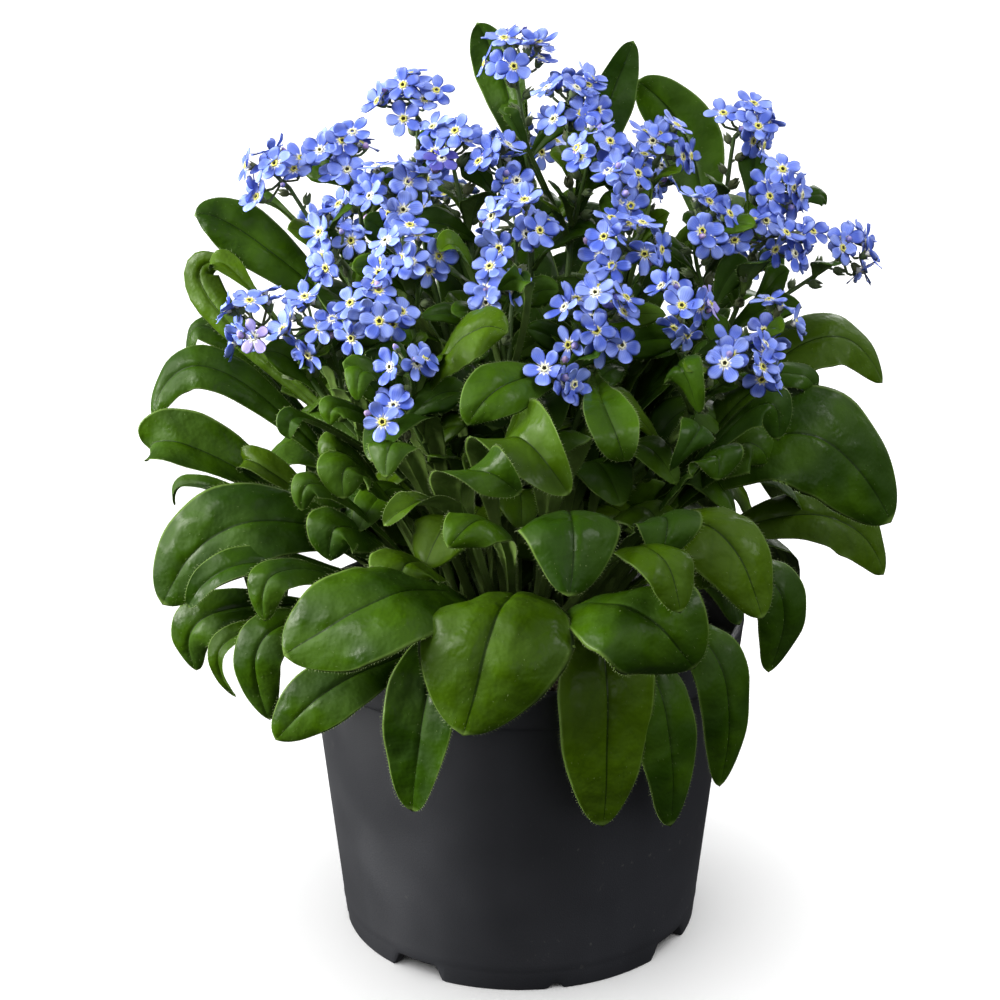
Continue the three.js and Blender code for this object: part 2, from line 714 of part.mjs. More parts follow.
// One flower: five lobes spread flat, narrowing to a three-sided stalk that runs to its root
function flower({ rim, turn, place, root }) {
  const stalkSides = 3;
  const rimCount = petals * rim.length;
  const local = [new THREE.Vector3(0, 0, throatLift)];
  for (let i = 0; i < rimCount; i++) {
    const { turn: share, reach, lift } = rim[i % rim.length];
    const angle = ((Math.floor(i / rim.length) + share) / petals) * Math.PI * 2;
    const radius = corollaRadius * reach;
    local.push(new THREE.Vector3(radius * Math.cos(angle), radius * Math.sin(angle), lift));
  }
  for (let i = 0; i < stalkSides; i++) {
    const angle = ((i + 0.5) / stalkSides) * Math.PI * 2;
    local.push(
      new THREE.Vector3(pedicelRadius * Math.cos(angle), pedicelRadius * Math.sin(angle), -corollaDepth),
    );
  }
  const points = local.map((point) => point.applyQuaternion(turn).add(place));
  const foot = points.push(root) - 1;
  const faces = [];
  const rimSpot = (i) => 1 + (i % rimCount);
  const stalkSpot = (i) => 1 + rimCount + (i % stalkSides);
  const nearest = (i) => Math.floor(((i + 0.5) * stalkSides) / rimCount);
  for (let i = 0; i < rimCount; i++) {
    faces.push([0, rimSpot(i), rimSpot(i + 1)]);
    faces.push([stalkSpot(nearest(i)), rimSpot(i + 1), rimSpot(i)]);
    if (nearest(i + 1) !== nearest(i)) {
      faces.push([stalkSpot(nearest(i)), stalkSpot(nearest(i + 1)), rimSpot(i + 1)]);
    }
  }
  for (let i = 0; i < stalkSides; i++) {
    faces.push([stalkSpot(i), foot, stalkSpot(i + 1)]);
  }
  return closedGeometry(points, faces);
}

// A head of flowers on a dome, spread by the golden angle from its crown downwards
function flowerHead(head, index) {
  const { centre, facing, half, root, coreRadius } = headForm(head);
  const flowers = head[5];
  const core = new THREE.OctahedronGeometry(coreRadius);
  core.applyQuaternion(turnTo(facing));
  core.translate(root.x, root.y, root.z);
  const solids = [toSolid(core)];
  const goldenAngle = Math.PI * (3 - Math.sqrt(5));
  for (let i = 0; i < flowers; i++) {
    const tilt = Math.acos(1 - (headCover * (i + 0.5)) / flowers);
    const around = i * goldenAngle + index;
    const ray = new THREE.Vector3(Math.cos(around), Math.sin(around), 1 / Math.tan(tilt)).normalize();
    ray.applyQuaternion(turnTo(facing));
    const place = ray.clone().multiply(half).add(centre);
    const look = ray.clone().divide(half).normalize().add(facing).normalize();
    const spin = new THREE.Quaternion();
    spin.setFromAxisAngle(new THREE.Vector3(0, 0, 1), jitter(index, i) * Math.PI);
    const rim = i < flowers * openShare ? openPetal : youngPetal;
    solids.push(toSolid(flower({ rim, turn: turnTo(look).multiply(spin), place, root })));
  }
  return grownTogether(solids);
}

const group = new THREE.Group();

function addPiece(name, solid, material) {
  const mesh = new THREE.Mesh(toGeometry(solid), material);
  mesh.name = name;
  group.add(mesh);
}

function numbered(name, index) {
  return `${name}_${String(index + 1).padStart(2, '0')}`;
}

addPiece('pot', pot(), finish.pot);
addPiece('soil', soil(), finish.soil);
addPiece('rosette', rosette(), finish.basal);
floweringStems.forEach((stem, index) => {
  addPiece(numbered('leafy_stem', index), floweringStem(stem), finish.stem);
});
floweringStems.flatMap((stem) => stem.heads).forEach((head, index) => {
  addPiece(numbered('flowers', index), flowerHead(head, index), finish.petal);
});

export default group;
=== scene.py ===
import math

import bpy
import numpy as np
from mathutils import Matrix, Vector


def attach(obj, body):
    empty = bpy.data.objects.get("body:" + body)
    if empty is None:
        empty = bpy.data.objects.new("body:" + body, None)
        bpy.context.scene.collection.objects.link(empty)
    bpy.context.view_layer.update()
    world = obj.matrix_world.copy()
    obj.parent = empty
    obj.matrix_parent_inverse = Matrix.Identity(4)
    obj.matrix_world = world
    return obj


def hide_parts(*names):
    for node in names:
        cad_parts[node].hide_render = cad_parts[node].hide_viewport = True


# Potted forget-me-not. Shapes are worked out in millimetres and turned into metres when a mesh is made.
# +Z is up, -Y is the front and the pot stands on Z = 0.

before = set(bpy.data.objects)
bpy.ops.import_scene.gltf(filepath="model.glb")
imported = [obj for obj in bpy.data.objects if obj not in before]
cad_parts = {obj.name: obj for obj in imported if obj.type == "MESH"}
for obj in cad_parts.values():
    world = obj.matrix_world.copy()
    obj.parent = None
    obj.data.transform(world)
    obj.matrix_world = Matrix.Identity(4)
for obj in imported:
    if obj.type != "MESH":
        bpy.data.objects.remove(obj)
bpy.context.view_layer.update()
millimetre = 0.001
goldenAngle = math.pi * (3 - math.sqrt(5))


# Camera and light

cameraSettings = {
    "place": (0, -0.523, 0.284),  # metres
    "downTilt": 17.6,  # degrees below the horizon
    "lens": 74.74,
    "shift": -0.02,
}

lightSettings = {
    # the sky's strength overhead, at the horizon and from below, and as the backdrop that the camera sees
    "overhead": 0.34,
    "horizon": 0.24,
    "below": 0.04,
    "backdrop": 1.1,
    "floorColour": (0.92, 0.92, 0.92, 1),
    "floorSize": 12,
    # soft light that only brightens the floor: strength, its width and its lean from the left in degrees
    "floorGlow": (4.9, 110, 11),
    # name: place, what it points at, width and height, watts, colour
    "lamps": {
        "keyLamp": ((-1.0, -0.6, 0.95), (0, 0, 0.14), 0.6, 0.6, 16, (1, 0.985, 0.92)),
        "sideLamp": ((-1.2, -0.05, 0.38), (0, 0, 0.07), 0.5, 0.8, 36, (1, 0.99, 0.93)),
        "frontLamp": ((0.5, -1.5, 0.7), (0, 0, 0.12), 1.0, 1.0, 6, (1, 1, 1)),
        "rightLamp": ((1.0, -0.4, 1.3), (0, 0, 0.18), 0.7, 0.7, 15, (1, 1, 1)),
        "backLamp": ((0.5, 1.3, 0.8), (0, 0, 0.14), 1.0, 1.0, 15, (1, 1, 1)),
    },
}


def makeCamera():
    lensData = bpy.data.cameras.new("photoCamera")
    lensData.lens = cameraSettings["lens"]
    lensData.sensor_width = 36
    lensData.shift_x = cameraSettings["shift"]
    lensData.clip_start = 0.01
    lensData.clip_end = 50
    photoCamera = bpy.data.objects.new("photoCamera", lensData)
    photoCamera.location = cameraSettings["place"]
    photoCamera.rotation_euler = (math.radians(90 - cameraSettings["downTilt"]), 0, 0)
    bpy.context.scene.collection.objects.link(photoCamera)
    bpy.context.scene.camera = photoCamera


def makeLamps():
    # The lamps light the plant and leave the floor to the sky and its own glow
    plantOnly = bpy.data.collections.new("litByLamps")
    for name, (place, target, width, height, watts, colour) in lightSettings["lamps"].items():
        lampData = bpy.data.lights.new(name, "AREA")
        lampData.shape = "RECTANGLE"
        lampData.size = width
        lampData.size_y = height
        lampData.energy = watts
        lampData.color = colour
        lamp = bpy.data.objects.new(name, lampData)
        lamp.location = place
        lamp.rotation_euler = (Vector(target) - Vector(place)).to_track_quat("-Z", "Y").to_euler()
        bpy.context.scene.collection.objects.link(lamp)
        lamp.light_linking.receiver_collection = plantOnly
    return plantOnly


def makeSky():
    # A white sky, dimmer towards the ground. The camera sees it as an even white backdrop.
    sky = bpy.data.worlds.new("studioSky")
    sky.use_nodes = True
    tree = sky.node_tree
    background = tree.nodes["Background"]
    background.inputs["Color"].default_value = (1, 1, 1, 1)
    direction = tree.nodes.new("ShaderNodeTexCoord")
    height = tree.nodes.new("ShaderNodeSeparateXYZ")
    tree.links.new(direction.outputs["Generated"], height.inputs[0])
    high, low = tree.nodes.new("ShaderNodeMapRange"), tree.nodes.new("ShaderNodeMapRange")
    high.inputs["To Min"].default_value = lightSettings["horizon"]
    high.inputs["To Max"].default_value = lightSettings["overhead"]
    low.inputs["From Min"].default_value = -0.25
    low.inputs["From Max"].default_value = 0
    low.inputs["To Min"].default_value = lightSettings["below"] / lightSettings["horizon"]
    for step in (high, low):
        tree.links.new(height.outputs["Z"], step.inputs["Value"])
    product = tree.nodes.new("ShaderNodeMath")
    product.operation = "MULTIPLY"
    tree.links.new(high.outputs["Result"], product.inputs[0])
    tree.links.new(low.outputs["Result"], product.inputs[1])
    rays = tree.nodes.new("ShaderNodeLightPath")
    seen = tree.nodes.new("ShaderNodeMix")
    tree.links.new(rays.outputs["Is Camera Ray"], seen.inputs[0])
    tree.links.new(product.outputs[0], seen.inputs[2])
    seen.inputs[3].default_value = lightSettings["backdrop"]
    tree.links.new(seen.outputs[0], background.inputs["Strength"])
    bpy.context.scene.world = sky
    bpy.context.scene.view_settings.view_transform = "Standard"


def makeFloor(plantOnly):
    half = lightSettings["floorSize"] / 2
    mesh = bpy.data.meshes.new("studioFloor")
    corners = [(-half, -half, 0), (half, -half, 0), (half, half, 0), (-half, half, 0)]
    mesh.from_pydata(corners, [], [(0, 1, 2, 3)])
    floor = bpy.data.objects.new("studioFloor", mesh)
    bpy.context.scene.collection.objects.link(floor)
    paint = bpy.data.materials.new("floorPaint")
    paint.use_nodes = True
    shader = paint.node_tree.nodes["Principled BSDF"]
    shader.inputs["Base Color"].default_value = lightSettings["floorColour"]
    shader.inputs["Roughness"].default_value = 0.9
    mesh.materials.append(paint)
    floor.visible_diffuse = False  # keeps the bright floor from lighting the plant from below
    floor.visible_glossy = False
    strength, spread, lean = lightSettings["floorGlow"]
    glowData = bpy.data.lights.new("floorGlow", "SUN")
    glowData.energy = strength
    glowData.angle = math.radians(spread)
    glow = bpy.data.objects.new("floorGlow", glowData)
    glow.rotation_euler = (0, math.radians(-lean), 0)
    bpy.context.scene.collection.objects.link(glow)
    lit = bpy.data.collections.new("litByFloorGlow")
    lit.objects.link(floor)
    glow.light_linking.receiver_collection = lit
    plantOnly.objects.link(floor)
    plantOnly.collection_objects[0].light_linking.link_state = "EXCLUDE"


makeCamera()
makeSky()
makeFloor(makeLamps())
print("camera, lamps and floor made")


# Numbers and directions

def jitter(index, use):
    # A repeatable number from 0 to 1 for each index and use
    wave = math.sin(index * 12.9898 + use * 78.233) * 43758.5453
    return wave - math.floor(wave)


def jitterRows(first, count, uses):
    # One row of such numbers for each index from first on, with a column for each use
    return np.array([[jitter(index, use) for use in uses] for index in range(first, first + count)])


def scatter(spread, index, use):
    return spread * (jitter(index, use) - 0.5)


def vector(values):
    return np.array(values, float)


def unit(values):
    values = np.asarray(values, float)
    return values / np.maximum(np.linalg.norm(values, axis=-1, keepdims=True), 1e-12)


def smoothStep(low, high, value):
    share = np.clip((value - low) / (high - low), 0, 1)
    return share * share * (3 - 2 * share)


def turnTo(direction):
    # Rows of the turn that takes +Z to a direction the shortest way
    turn = Vector((0, 0, 1)).rotation_difference(Vector(direction))
    return np.array(turn.to_matrix())


def spinAboutZ(angle):
    c, s = math.cos(angle), math.sin(angle)
    return np.array([[c, -s, 0], [s, c, 0], [0, 0, 1]])


def roundAngles(sides):
    return np.arange(sides) / sides * 2 * math.pi


def ringAt(radius, angles, height):
    # Points round the axis, with one radius and one height for all of them or for each
    return np.stack(np.broadcast_arrays(radius * np.cos(angles), radius * np.sin(angles), height), axis=-1)


def pathMiles(path):
    # Distance along a path from its start to each of its points
    return np.concatenate([[0], np.cumsum(np.linalg.norm(np.diff(path, axis=0), axis=1))])


def pointAt(path, miles, distance):
    return np.stack([np.interp(distance, miles, path[:, axis]) for axis in range(3)], axis=-1)


# Mesh making

def newHeap():
    return {"points": [], "faces": [], "shade": [], "count": 0}


def addShape(heap, points, faces, shade):
    # shade is one row of four numbers, or one row for each point
    points = np.asarray(points, float).reshape(-1, 3)
    heap["points"].append(points)
    heap["shade"].append(np.broadcast_to(np.asarray(shade, float), (len(points), 4)))
    for block in faces:
        heap["faces"].extend((np.asarray(block) + heap["count"]).tolist())
    heap["count"] += len(points)


def ringFaces(rows, sides, flip):
    row, side = np.meshgrid(np.arange(rows - 1), np.arange(sides), indexing="ij")
    after = (side + 1) % sides
    quads = np.stack([row * sides + side, row * sides + after,
                      (row + 1) * sides + after, (row + 1) * sides + side], axis=-1).reshape(-1, 4)
    return quads[:, ::-1] if flip else quads


def addRings(heap, rings, shade, start, end, flip=False):
    # A closed body from stacked rings of points, closed at both ends to one point each
    rows, sides = rings.shape[:2]
    side = np.arange(sides)
    after = (side + 1) % sides
    first, last = rows * sides, rows * sides + 1
    startFan = np.stack([np.full(sides, first), after, side], axis=-1)
    endRow = (rows - 1) * sides
    endFan = np.stack([np.full(sides, last), endRow + side, endRow + after], axis=-1)
    if flip:
        startFan, endFan = startFan[:, ::-1], endFan[:, ::-1]
    points = np.concatenate([rings.reshape(-1, 3), [start, end]])
    shade = np.asarray(shade, float)
    if shade.ndim == 3:
        shade = np.concatenate([shade.reshape(-1, 4), shade[0].mean(0)[None], shade[-1].mean(0)[None]])
    addShape(heap, points, [ringFaces(rows, sides, flip), startFan, endFan], shade)


def addTube(heap, path, radii, sides, shade):
    # A closed round rod along a path of points
    path = np.asarray(path, float)
    along = unit(np.gradient(path, axis=0))
    helper = vector([0, 1, 0]) if abs(along[0][1]) < 0.9 else vector([1, 0, 0])
    first = unit(helper - along[0] * np.dot(helper, along[0]))
    frames = []
    for direction in along:
        first = unit(first - direction * np.dot(first, direction))
        frames.append(first)
    frames = np.array(frames)
    beside = np.cross(along, frames)
    angles = roundAngles(sides)
    radii = np.broadcast_to(radii, len(path))[:, None, None]
    rings = path[:, None] + radii * (frames[:, None] * np.cos(angles)[None, :, None]
                                     + beside[:, None] * np.sin(angles)[None, :, None])
    if np.ndim(shade) == 2:
        shade = np.repeat(np.asarray(shade, float)[:, None], sides, axis=1)
    addRings(heap, rings, shade, path[0], path[-1])
    return along, frames, beside


def addHairs(heap, roots, directions, lengths, radius, shade):
    # Fine pointed hairs, each a closed three-sided spike
    roots, directions = np.asarray(roots, float), unit(directions)
    across = unit(np.cross(directions, vector([0.31, 0.53, 0.79])))
    beside = np.cross(directions, across)
    angles = roundAngles(3)
    feet = roots[:, None] + radius * (across[:, None] * np.cos(angles)[None, :, None]
                                      + beside[:, None] * np.sin(angles)[None, :, None])
    tips = roots + directions * np.broadcast_to(lengths, len(roots))[:, None]
    points = np.concatenate([feet, tips[:, None]], axis=1).reshape(-1, 3)
    base = np.arange(len(roots))[:, None] * 4
    faces = np.concatenate([base + [0, 1, 3], base + [1, 2, 3], base + [2, 0, 3], base + [0, 2, 1]])
    addShape(heap, points, [faces], shade)


def meshFrom(name, heap):
    mesh = bpy.data.meshes.new(name)
    points = np.concatenate(heap["points"]) * millimetre
    mesh.from_pydata(points.tolist(), [], heap["faces"])
    return mesh


def makePiece(name, heap, material, standsFor=()):
    mesh = meshFrom(name, heap)
    shade = mesh.attributes.new("shade", "FLOAT_COLOR", "POINT")
    shade.data.foreach_set("color", np.concatenate(heap["shade"]).ravel())
    mesh.polygons.foreach_set("use_smooth", [True] * len(mesh.polygons))
    mesh.update()
    mesh.materials.append(material)
    piece = bpy.data.objects.new(name, mesh)
    bpy.context.scene.collection.objects.link(piece)
    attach(piece, "root")
    if standsFor:
        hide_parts(*standsFor)
    triangles = sum(len(polygon.vertices) - 2 for polygon in mesh.polygons)
    print(f"{name}: {triangles} triangles")
    return piece


# Material helpers

def newMaterial(name, roughness, specular=0.5):
    material = bpy.data.materials.new(name)
    material.use_nodes = True
    shader = material.node_tree.nodes["Principled BSDF"]
    shader.inputs["Roughness"].default_value = roughness
    shader.inputs["Specular IOR Level"].default_value = specular
    return material, material.node_tree, shader


def addNode(tree, kind, links=(), **settings):
    # links: (output socket, name or number of this node's input)
    node = tree.nodes.new("ShaderNode" + kind)
    for name, value in settings.items():
        setattr(node, name, value)
    for source, target in links:
        tree.links.new(source, node.inputs[target])
    return node


def addMath(tree, operation, first, second=0.0, third=0.0):
    node = addNode(tree, "Math", operation=operation)
    for place, value in enumerate((first, second, third)):
        if isinstance(value, (int, float)):
            node.inputs[place].default_value = value
        else:
            tree.links.new(value, node.inputs[place])
    return node.outputs[0]


def addStep(tree, value, low, high, start=0.0, end=1.0):
    # A smooth step from start to end while value goes from low to high
    node = addNode(tree, "MapRange", [(value, "Value")], interpolation_type="SMOOTHSTEP")
    node.inputs["From Min"].default_value = low
    node.inputs["From Max"].default_value = high
    node.inputs["To Min"].default_value = start
    node.inputs["To Max"].default_value = end
    return node.outputs["Result"]


def addMix(tree, factor, first, second):
    node = addNode(tree, "Mix", data_type="RGBA")
    for name, value in ((0, factor), (6, first), (7, second)):
        if isinstance(value, (int, float)):
            node.inputs[name].default_value = value
        elif isinstance(value, tuple):
            node.inputs[name].default_value = (*value, 1)
        else:
            tree.links.new(value, node.inputs[name])
    return node.outputs[2]


def addNoise(tree, scale, detail=2.0, roughness=0.5, stretch=None):
    place = addNode(tree, "NewGeometry").outputs["Position"]
    if stretch:
        shaped = addNode(tree, "Mapping", [(place, "Vector")])
        shaped.inputs["Scale"].default_value = stretch
        place = shaped.outputs["Vector"]
    node = addNode(tree, "TexNoise", [(place, "Vector")])
    node.inputs["Scale"].default_value = scale
    node.inputs["Detail"].default_value = detail
    node.inputs["Roughness"].default_value = roughness
    return node.outputs["Fac"]


def addBump(tree, shader, height, strength, distance):
    bump = addNode(tree, "Bump", [(height, "Height")])
    bump.inputs["Strength"].default_value = strength
    bump.inputs["Distance"].default_value = distance
    tree.links.new(bump.outputs["Normal"], shader.inputs["Normal"])


def scaled(colour, factor):
    return tuple(part * factor for part in colour)


def setSkin(tree, shader, colour, roughness):
    tree.links.new(colour, shader.inputs["Base Color"])
    tree.links.new(roughness, shader.inputs["Roughness"])


def readShade(tree):
    # The four numbers that each point of a mesh carries
    shade = addNode(tree, "Attribute", attribute_name="shade")
    parts = addNode(tree, "SeparateColor", [(shade.outputs["Color"], "Color")])
    return (*parts.outputs[:3], shade.outputs["Alpha"])


# Nursery pot

potForm = {
    "height": 88,
    "lipRadius": 60,
    "lipDepth": 10,
    "bodyTopRadius": 56.6,
    "bodyBaseRadius": 48.4,
    "wall": 1.2,
    "baseRise": 4.5,
    "sides": 288,
    "notchCount": 8,
    "firstNotch": -34,  # degrees from the front
    "notchSizes": ((7.8, 6.4, 4), (2.1, 1.7, 1.4)),  # half width at the floor and at the top, height
    "drainHoles": 4,
    "drainRadius": 4,
    "drainCircle": 30,
    "plastic": ((0.0175, 0.0184, 0.0225), (0.024, 0.0252, 0.031)),
    "streaks": (0.032, 0.034, 0.041),
    "rubbedSpots": (0.09, 0.09, 0.085),
}


def notchHeight(angles):
    # Height of the foot's lower edge round the pot, angles from the front towards +X
    edge = np.zeros(len(angles))
    count = potForm["notchCount"]
    for i in range(count):
        middle = math.radians(potForm["firstNotch"] + i * 360 / count)
        off = np.abs((angles - middle + math.pi) % (2 * math.pi) - math.pi) * potForm["bodyBaseRadius"]
        floorHalf, topHalf, height = potForm["notchSizes"][i % 2]
        edge = np.maximum(edge, height * (1 - smoothStep(topHalf - 0.6, floorHalf + 0.2, off)))
    return edge


def potOutline():
    # Radius, height and whether the point is on the notched foot, from under the base to inside it
    f = potForm
    base, top, lip, wall = f["bodyBaseRadius"], f["bodyTopRadius"], f["lipRadius"], f["wall"]
    low = f["height"] - f["lipDepth"]
    rows = [(12, f["baseRise"]), (26, f["baseRise"]), (36, f["baseRise"]), (43, f["baseRise"]),
            (44.6, f["baseRise"] - 0.3), (45.2, f["baseRise"] - 1)]
    foot = [(45.7, 0.5), (45.9, 0.12), (46.2, 0), (47.9, 0), (48.3, 0.12), (48.45, 0.5)]
    side = [(base + (top - base) * share, low * share)
            for share in (0.062, 0.075, 0.1, 0.3, 0.5, 0.7, 0.9, 0.975)]
    side.insert(2, (base + (top - base) * 0.085 + 0.12, low * 0.085))
    rim = [(top + 0.05, low - 0.5), (top + 0.35, low - 0.1), (lip - 1.4, low), (lip - 1.05, low + 0.15),
           (lip - 0.92, low + 0.5), (lip - 0.88, low + 1.6), (lip - 0.6, low + 4), (lip - 0.2, low + 8),
           (lip - 0.02, low + 9), (lip - 0.05, low + 9.5), (lip - 0.3, low + 9.85), (lip - 0.7, low + 10),
           (lip - 1.5, low + 10), (lip - 1.85, low + 9.85), (lip - 2.05, low + 9.5), (lip - 2.3, low + 7),
           (lip - 2.9, low + 2), (top - wall + 0.3, low - 0.5), (top - wall, low - 2)]
    inside = [(base + (top - base) * share - wall, low * share) for share in (0.8, 0.6, 0.4, 0.2, 0.11)]
    floor = [(base - wall - 1.4, f["baseRise"] + wall + 0.3), (base - wall - 2.4, f["baseRise"] + wall),
             (36, f["baseRise"] + wall), (26, f["baseRise"] + wall), (12, f["baseRise"] + wall)]
    return rows, foot, side + rim + inside + floor


def makePot():
    sides = potForm["sides"]
    angles = roundAngles(sides)
    edge = notchHeight(np.arctan2(np.cos(angles), -np.sin(angles)))
    rows, foot, rest = potOutline()
    rings = []
    for radius, height in rows + foot + rest:
        lift = np.full(sides, float(height))
        if (radius, height) in foot:
            lift = edge + (height if height < 0.4 else height * (1 - edge / 6))
        elif (radius, height) in rows[-2:]:
            lift = np.maximum(lift, edge + 0.25)
        elif height < 8 and (radius, height) in rest[:3]:
            lift = np.maximum(lift, edge + 0.6 + 0.25 * rest.index((radius, height)))
        rings.append(ringAt(radius, angles, lift))
    heap = newHeap()
    addRings(heap, np.array(rings), (0, 0, 0, 0),
             vector([0, 0, potForm["baseRise"]]), vector([0, 0, potForm["baseRise"] + potForm["wall"]]))
    pot = makePiece("plant_pot", heap, potPlastic(), ["pot"])
    pierce(pot)
    pot.data.set_sharp_from_angle(angle=math.radians(50))


def pierce(pot):
    # Cuts the drain holes through the base
    holes = newHeap()
    middle = potForm["baseRise"] + potForm["wall"] / 2
    for i in range(potForm["drainHoles"]):
        turn = (i + 0.5) / potForm["drainHoles"] * 2 * math.pi
        x, y = potForm["drainCircle"] * math.sin(turn), -potForm["drainCircle"] * math.cos(turn)
        addTube(holes, [(x, y, middle - 2), (x, y, middle + 2)], potForm["drainRadius"], 28, (0, 0, 0, 0))
    cutter = bpy.data.objects.new("drainCutter", meshFrom("drainCutter", holes))
    bpy.context.scene.collection.objects.link(cutter)
    cut = pot.modifiers.new("drain", "BOOLEAN")
    cut.operation = "DIFFERENCE"
    cut.object = cutter
    cut.solver = "EXACT"
    bpy.context.view_layer.update()
    pierced = bpy.data.meshes.new_from_object(pot.evaluated_get(bpy.context.evaluated_depsgraph_get()))
    pot.modifiers.clear()
    pot.data = pierced
    bpy.data.objects.remove(cutter)


def potPlastic():
    # Matte anthracite plastic with a fine moulded grain, faint upright streaks and a few rubbed spots
    material, tree, shader = newMaterial("potPlastic", 0.5, 0.45)
    cloud = addNoise(tree, 26, 2)
    streaks = addNoise(tree, 60, 1, stretch=(1, 1, 0.06))
    colour = addMix(tree, addStep(tree, cloud, 0.35, 0.7), *potForm["plastic"])
    colour = addMix(tree, addStep(tree, streaks, 0.55, 0.8, 0, 0.35), colour, potForm["streaks"])
    dust = addNoise(tree, 420, 2, 0.7)
    patches = addNoise(tree, 18, 2)
    specks = addMath(tree, "MULTIPLY", addStep(tree, dust, 0.66, 0.74), addStep(tree, patches, 0.5, 0.62))
    colour = addMix(tree, addMath(tree, "MULTIPLY", specks, 0.5), colour, potForm["rubbedSpots"])
    setSkin(tree, shader, colour, addStep(tree, cloud, 0.3, 0.7, 0.42, 0.56))
    grain = addNoise(tree, 2600, 2, 0.6)
    addBump(tree, shader, addMath(tree, "ADD", grain, addMath(tree, "MULTIPLY", streaks, 0.4)), 0.25, 0.0002)
    return material


makePot()
print("pot made")


# Potting soil

soilForm = {
    "top": 80,
    "relief": 1.1,
    "edgeDrop": 3,
    "sides": 150,
    "crumbs": 1100,
    "crumbCircle": 53,
    "crumbSize": (0.5, 1.8),
    "peat": ((0.008, 0.005, 0.003), (0.035, 0.022, 0.013)),
    "paleCrumbs": (0.075, 0.045, 0.024),
    "dampPeat": (0.006, 0.004, 0.003),
}


def soilHeight(radius, angle):
    lumps = (np.sin(7 * angle + radius * 0.31) + np.sin(11 * angle - 0.43 * radius)
             + np.sin(radius * 0.9 + 3 * angle) + 0.6 * np.sin(23 * angle + radius * 1.3))
    edge = soilForm["edgeDrop"] * smoothStep(46, 54, radius)
    return soilForm["top"] - edge + soilForm["relief"] * 0.4 * lumps * smoothStep(0, 8, radius)


def addCrumb(heap, i):
    # An uneven lump with eight faces, lying on the soil
    corners = vector([[0, 0, 1], [0, 0, -1], [1, 0, 0], [-1, 0, 0], [0, 1, 0], [0, -1, 0]])
    faces = np.array([[0, 2, 4], [0, 4, 3], [0, 3, 5], [0, 5, 2], [1, 4, 2], [1, 3, 4], [1, 5, 3], [1, 2, 5]])
    radius = soilForm["crumbCircle"] * math.sqrt(jitter(i, 41))
    angle = i * goldenAngle
    small, large = soilForm["crumbSize"]
    size = small + (large - small) * jitter(i, 42) ** 3
    height = soilHeight(radius, angle) + size * 0.3
    place = vector([radius * math.cos(angle), radius * math.sin(angle), height])
    stretch = vector([size * (0.7 + 0.6 * jitter(i, 43 + axis)) for axis in range(3)])
    rough = vector([[0.75 + 0.5 * jitter(i * 6 + corner, 50)] for corner in range(6)])
    turn = turnTo(unit(vector([jitter(i, 47) - 0.5, jitter(i, 48) - 0.5, 0.4])))
    addShape(heap, (corners * rough * stretch) @ turn.T + place, [faces], (jitter(i, 49), 0, 0, 0))


def makeSoil():
    heap = newHeap()
    angles = roundAngles(soilForm["sides"])
    floor = potForm["baseRise"] + potForm["wall"] + 0.4
    rings = [ringAt(radius, angles, height)
             for radius, height in ((20, floor), (44, floor), (46.2, floor + 1), (50, 40), (53.4, 70))]
    for radius in (54.2, 53.6, 52, 49.5, 47, 44, 41, 38, 35, 32, 29, 26, 22, 18, 14, 10, 6, 3):
        rings.append(ringAt(radius, angles, soilHeight(radius, angles)))
    addRings(heap, np.array(rings), (0.5, 0, 0, 0), vector([0, 0, floor]), vector([0, 0, soilForm["top"]]))
    for i in range(soilForm["crumbs"]):
        addCrumb(heap, i)
    makePiece("potting_soil", heap, soilCrumbs(), ["soil"])


def soilCrumbs():
    # Dark peat: brown-black crumbs of mixed shades, dull all over
    material, tree, shader = newMaterial("soilCrumbs", 0.95, 0.2)
    kind = readShade(tree)[0]
    grit = addNoise(tree, 900, 2, 0.7)
    damp = addNoise(tree, 90, 1)
    colour = addMix(tree, grit, *soilForm["peat"])
    colour = addMix(tree, addStep(tree, kind, 0.75, 0.95, 0, 0.6), colour, soilForm["paleCrumbs"])
    colour = addMix(tree, addStep(tree, damp, 0.4, 0.65, 0, 0.5), colour, soilForm["dampPeat"])
    setSkin(tree, shader, colour, addStep(tree, damp, 0.35, 0.65, 0.95, 0.8))
    addBump(tree, shader, grit, 0.8, 0.0006)
    return material


makeSoil()
print("soil made")


# Leaves

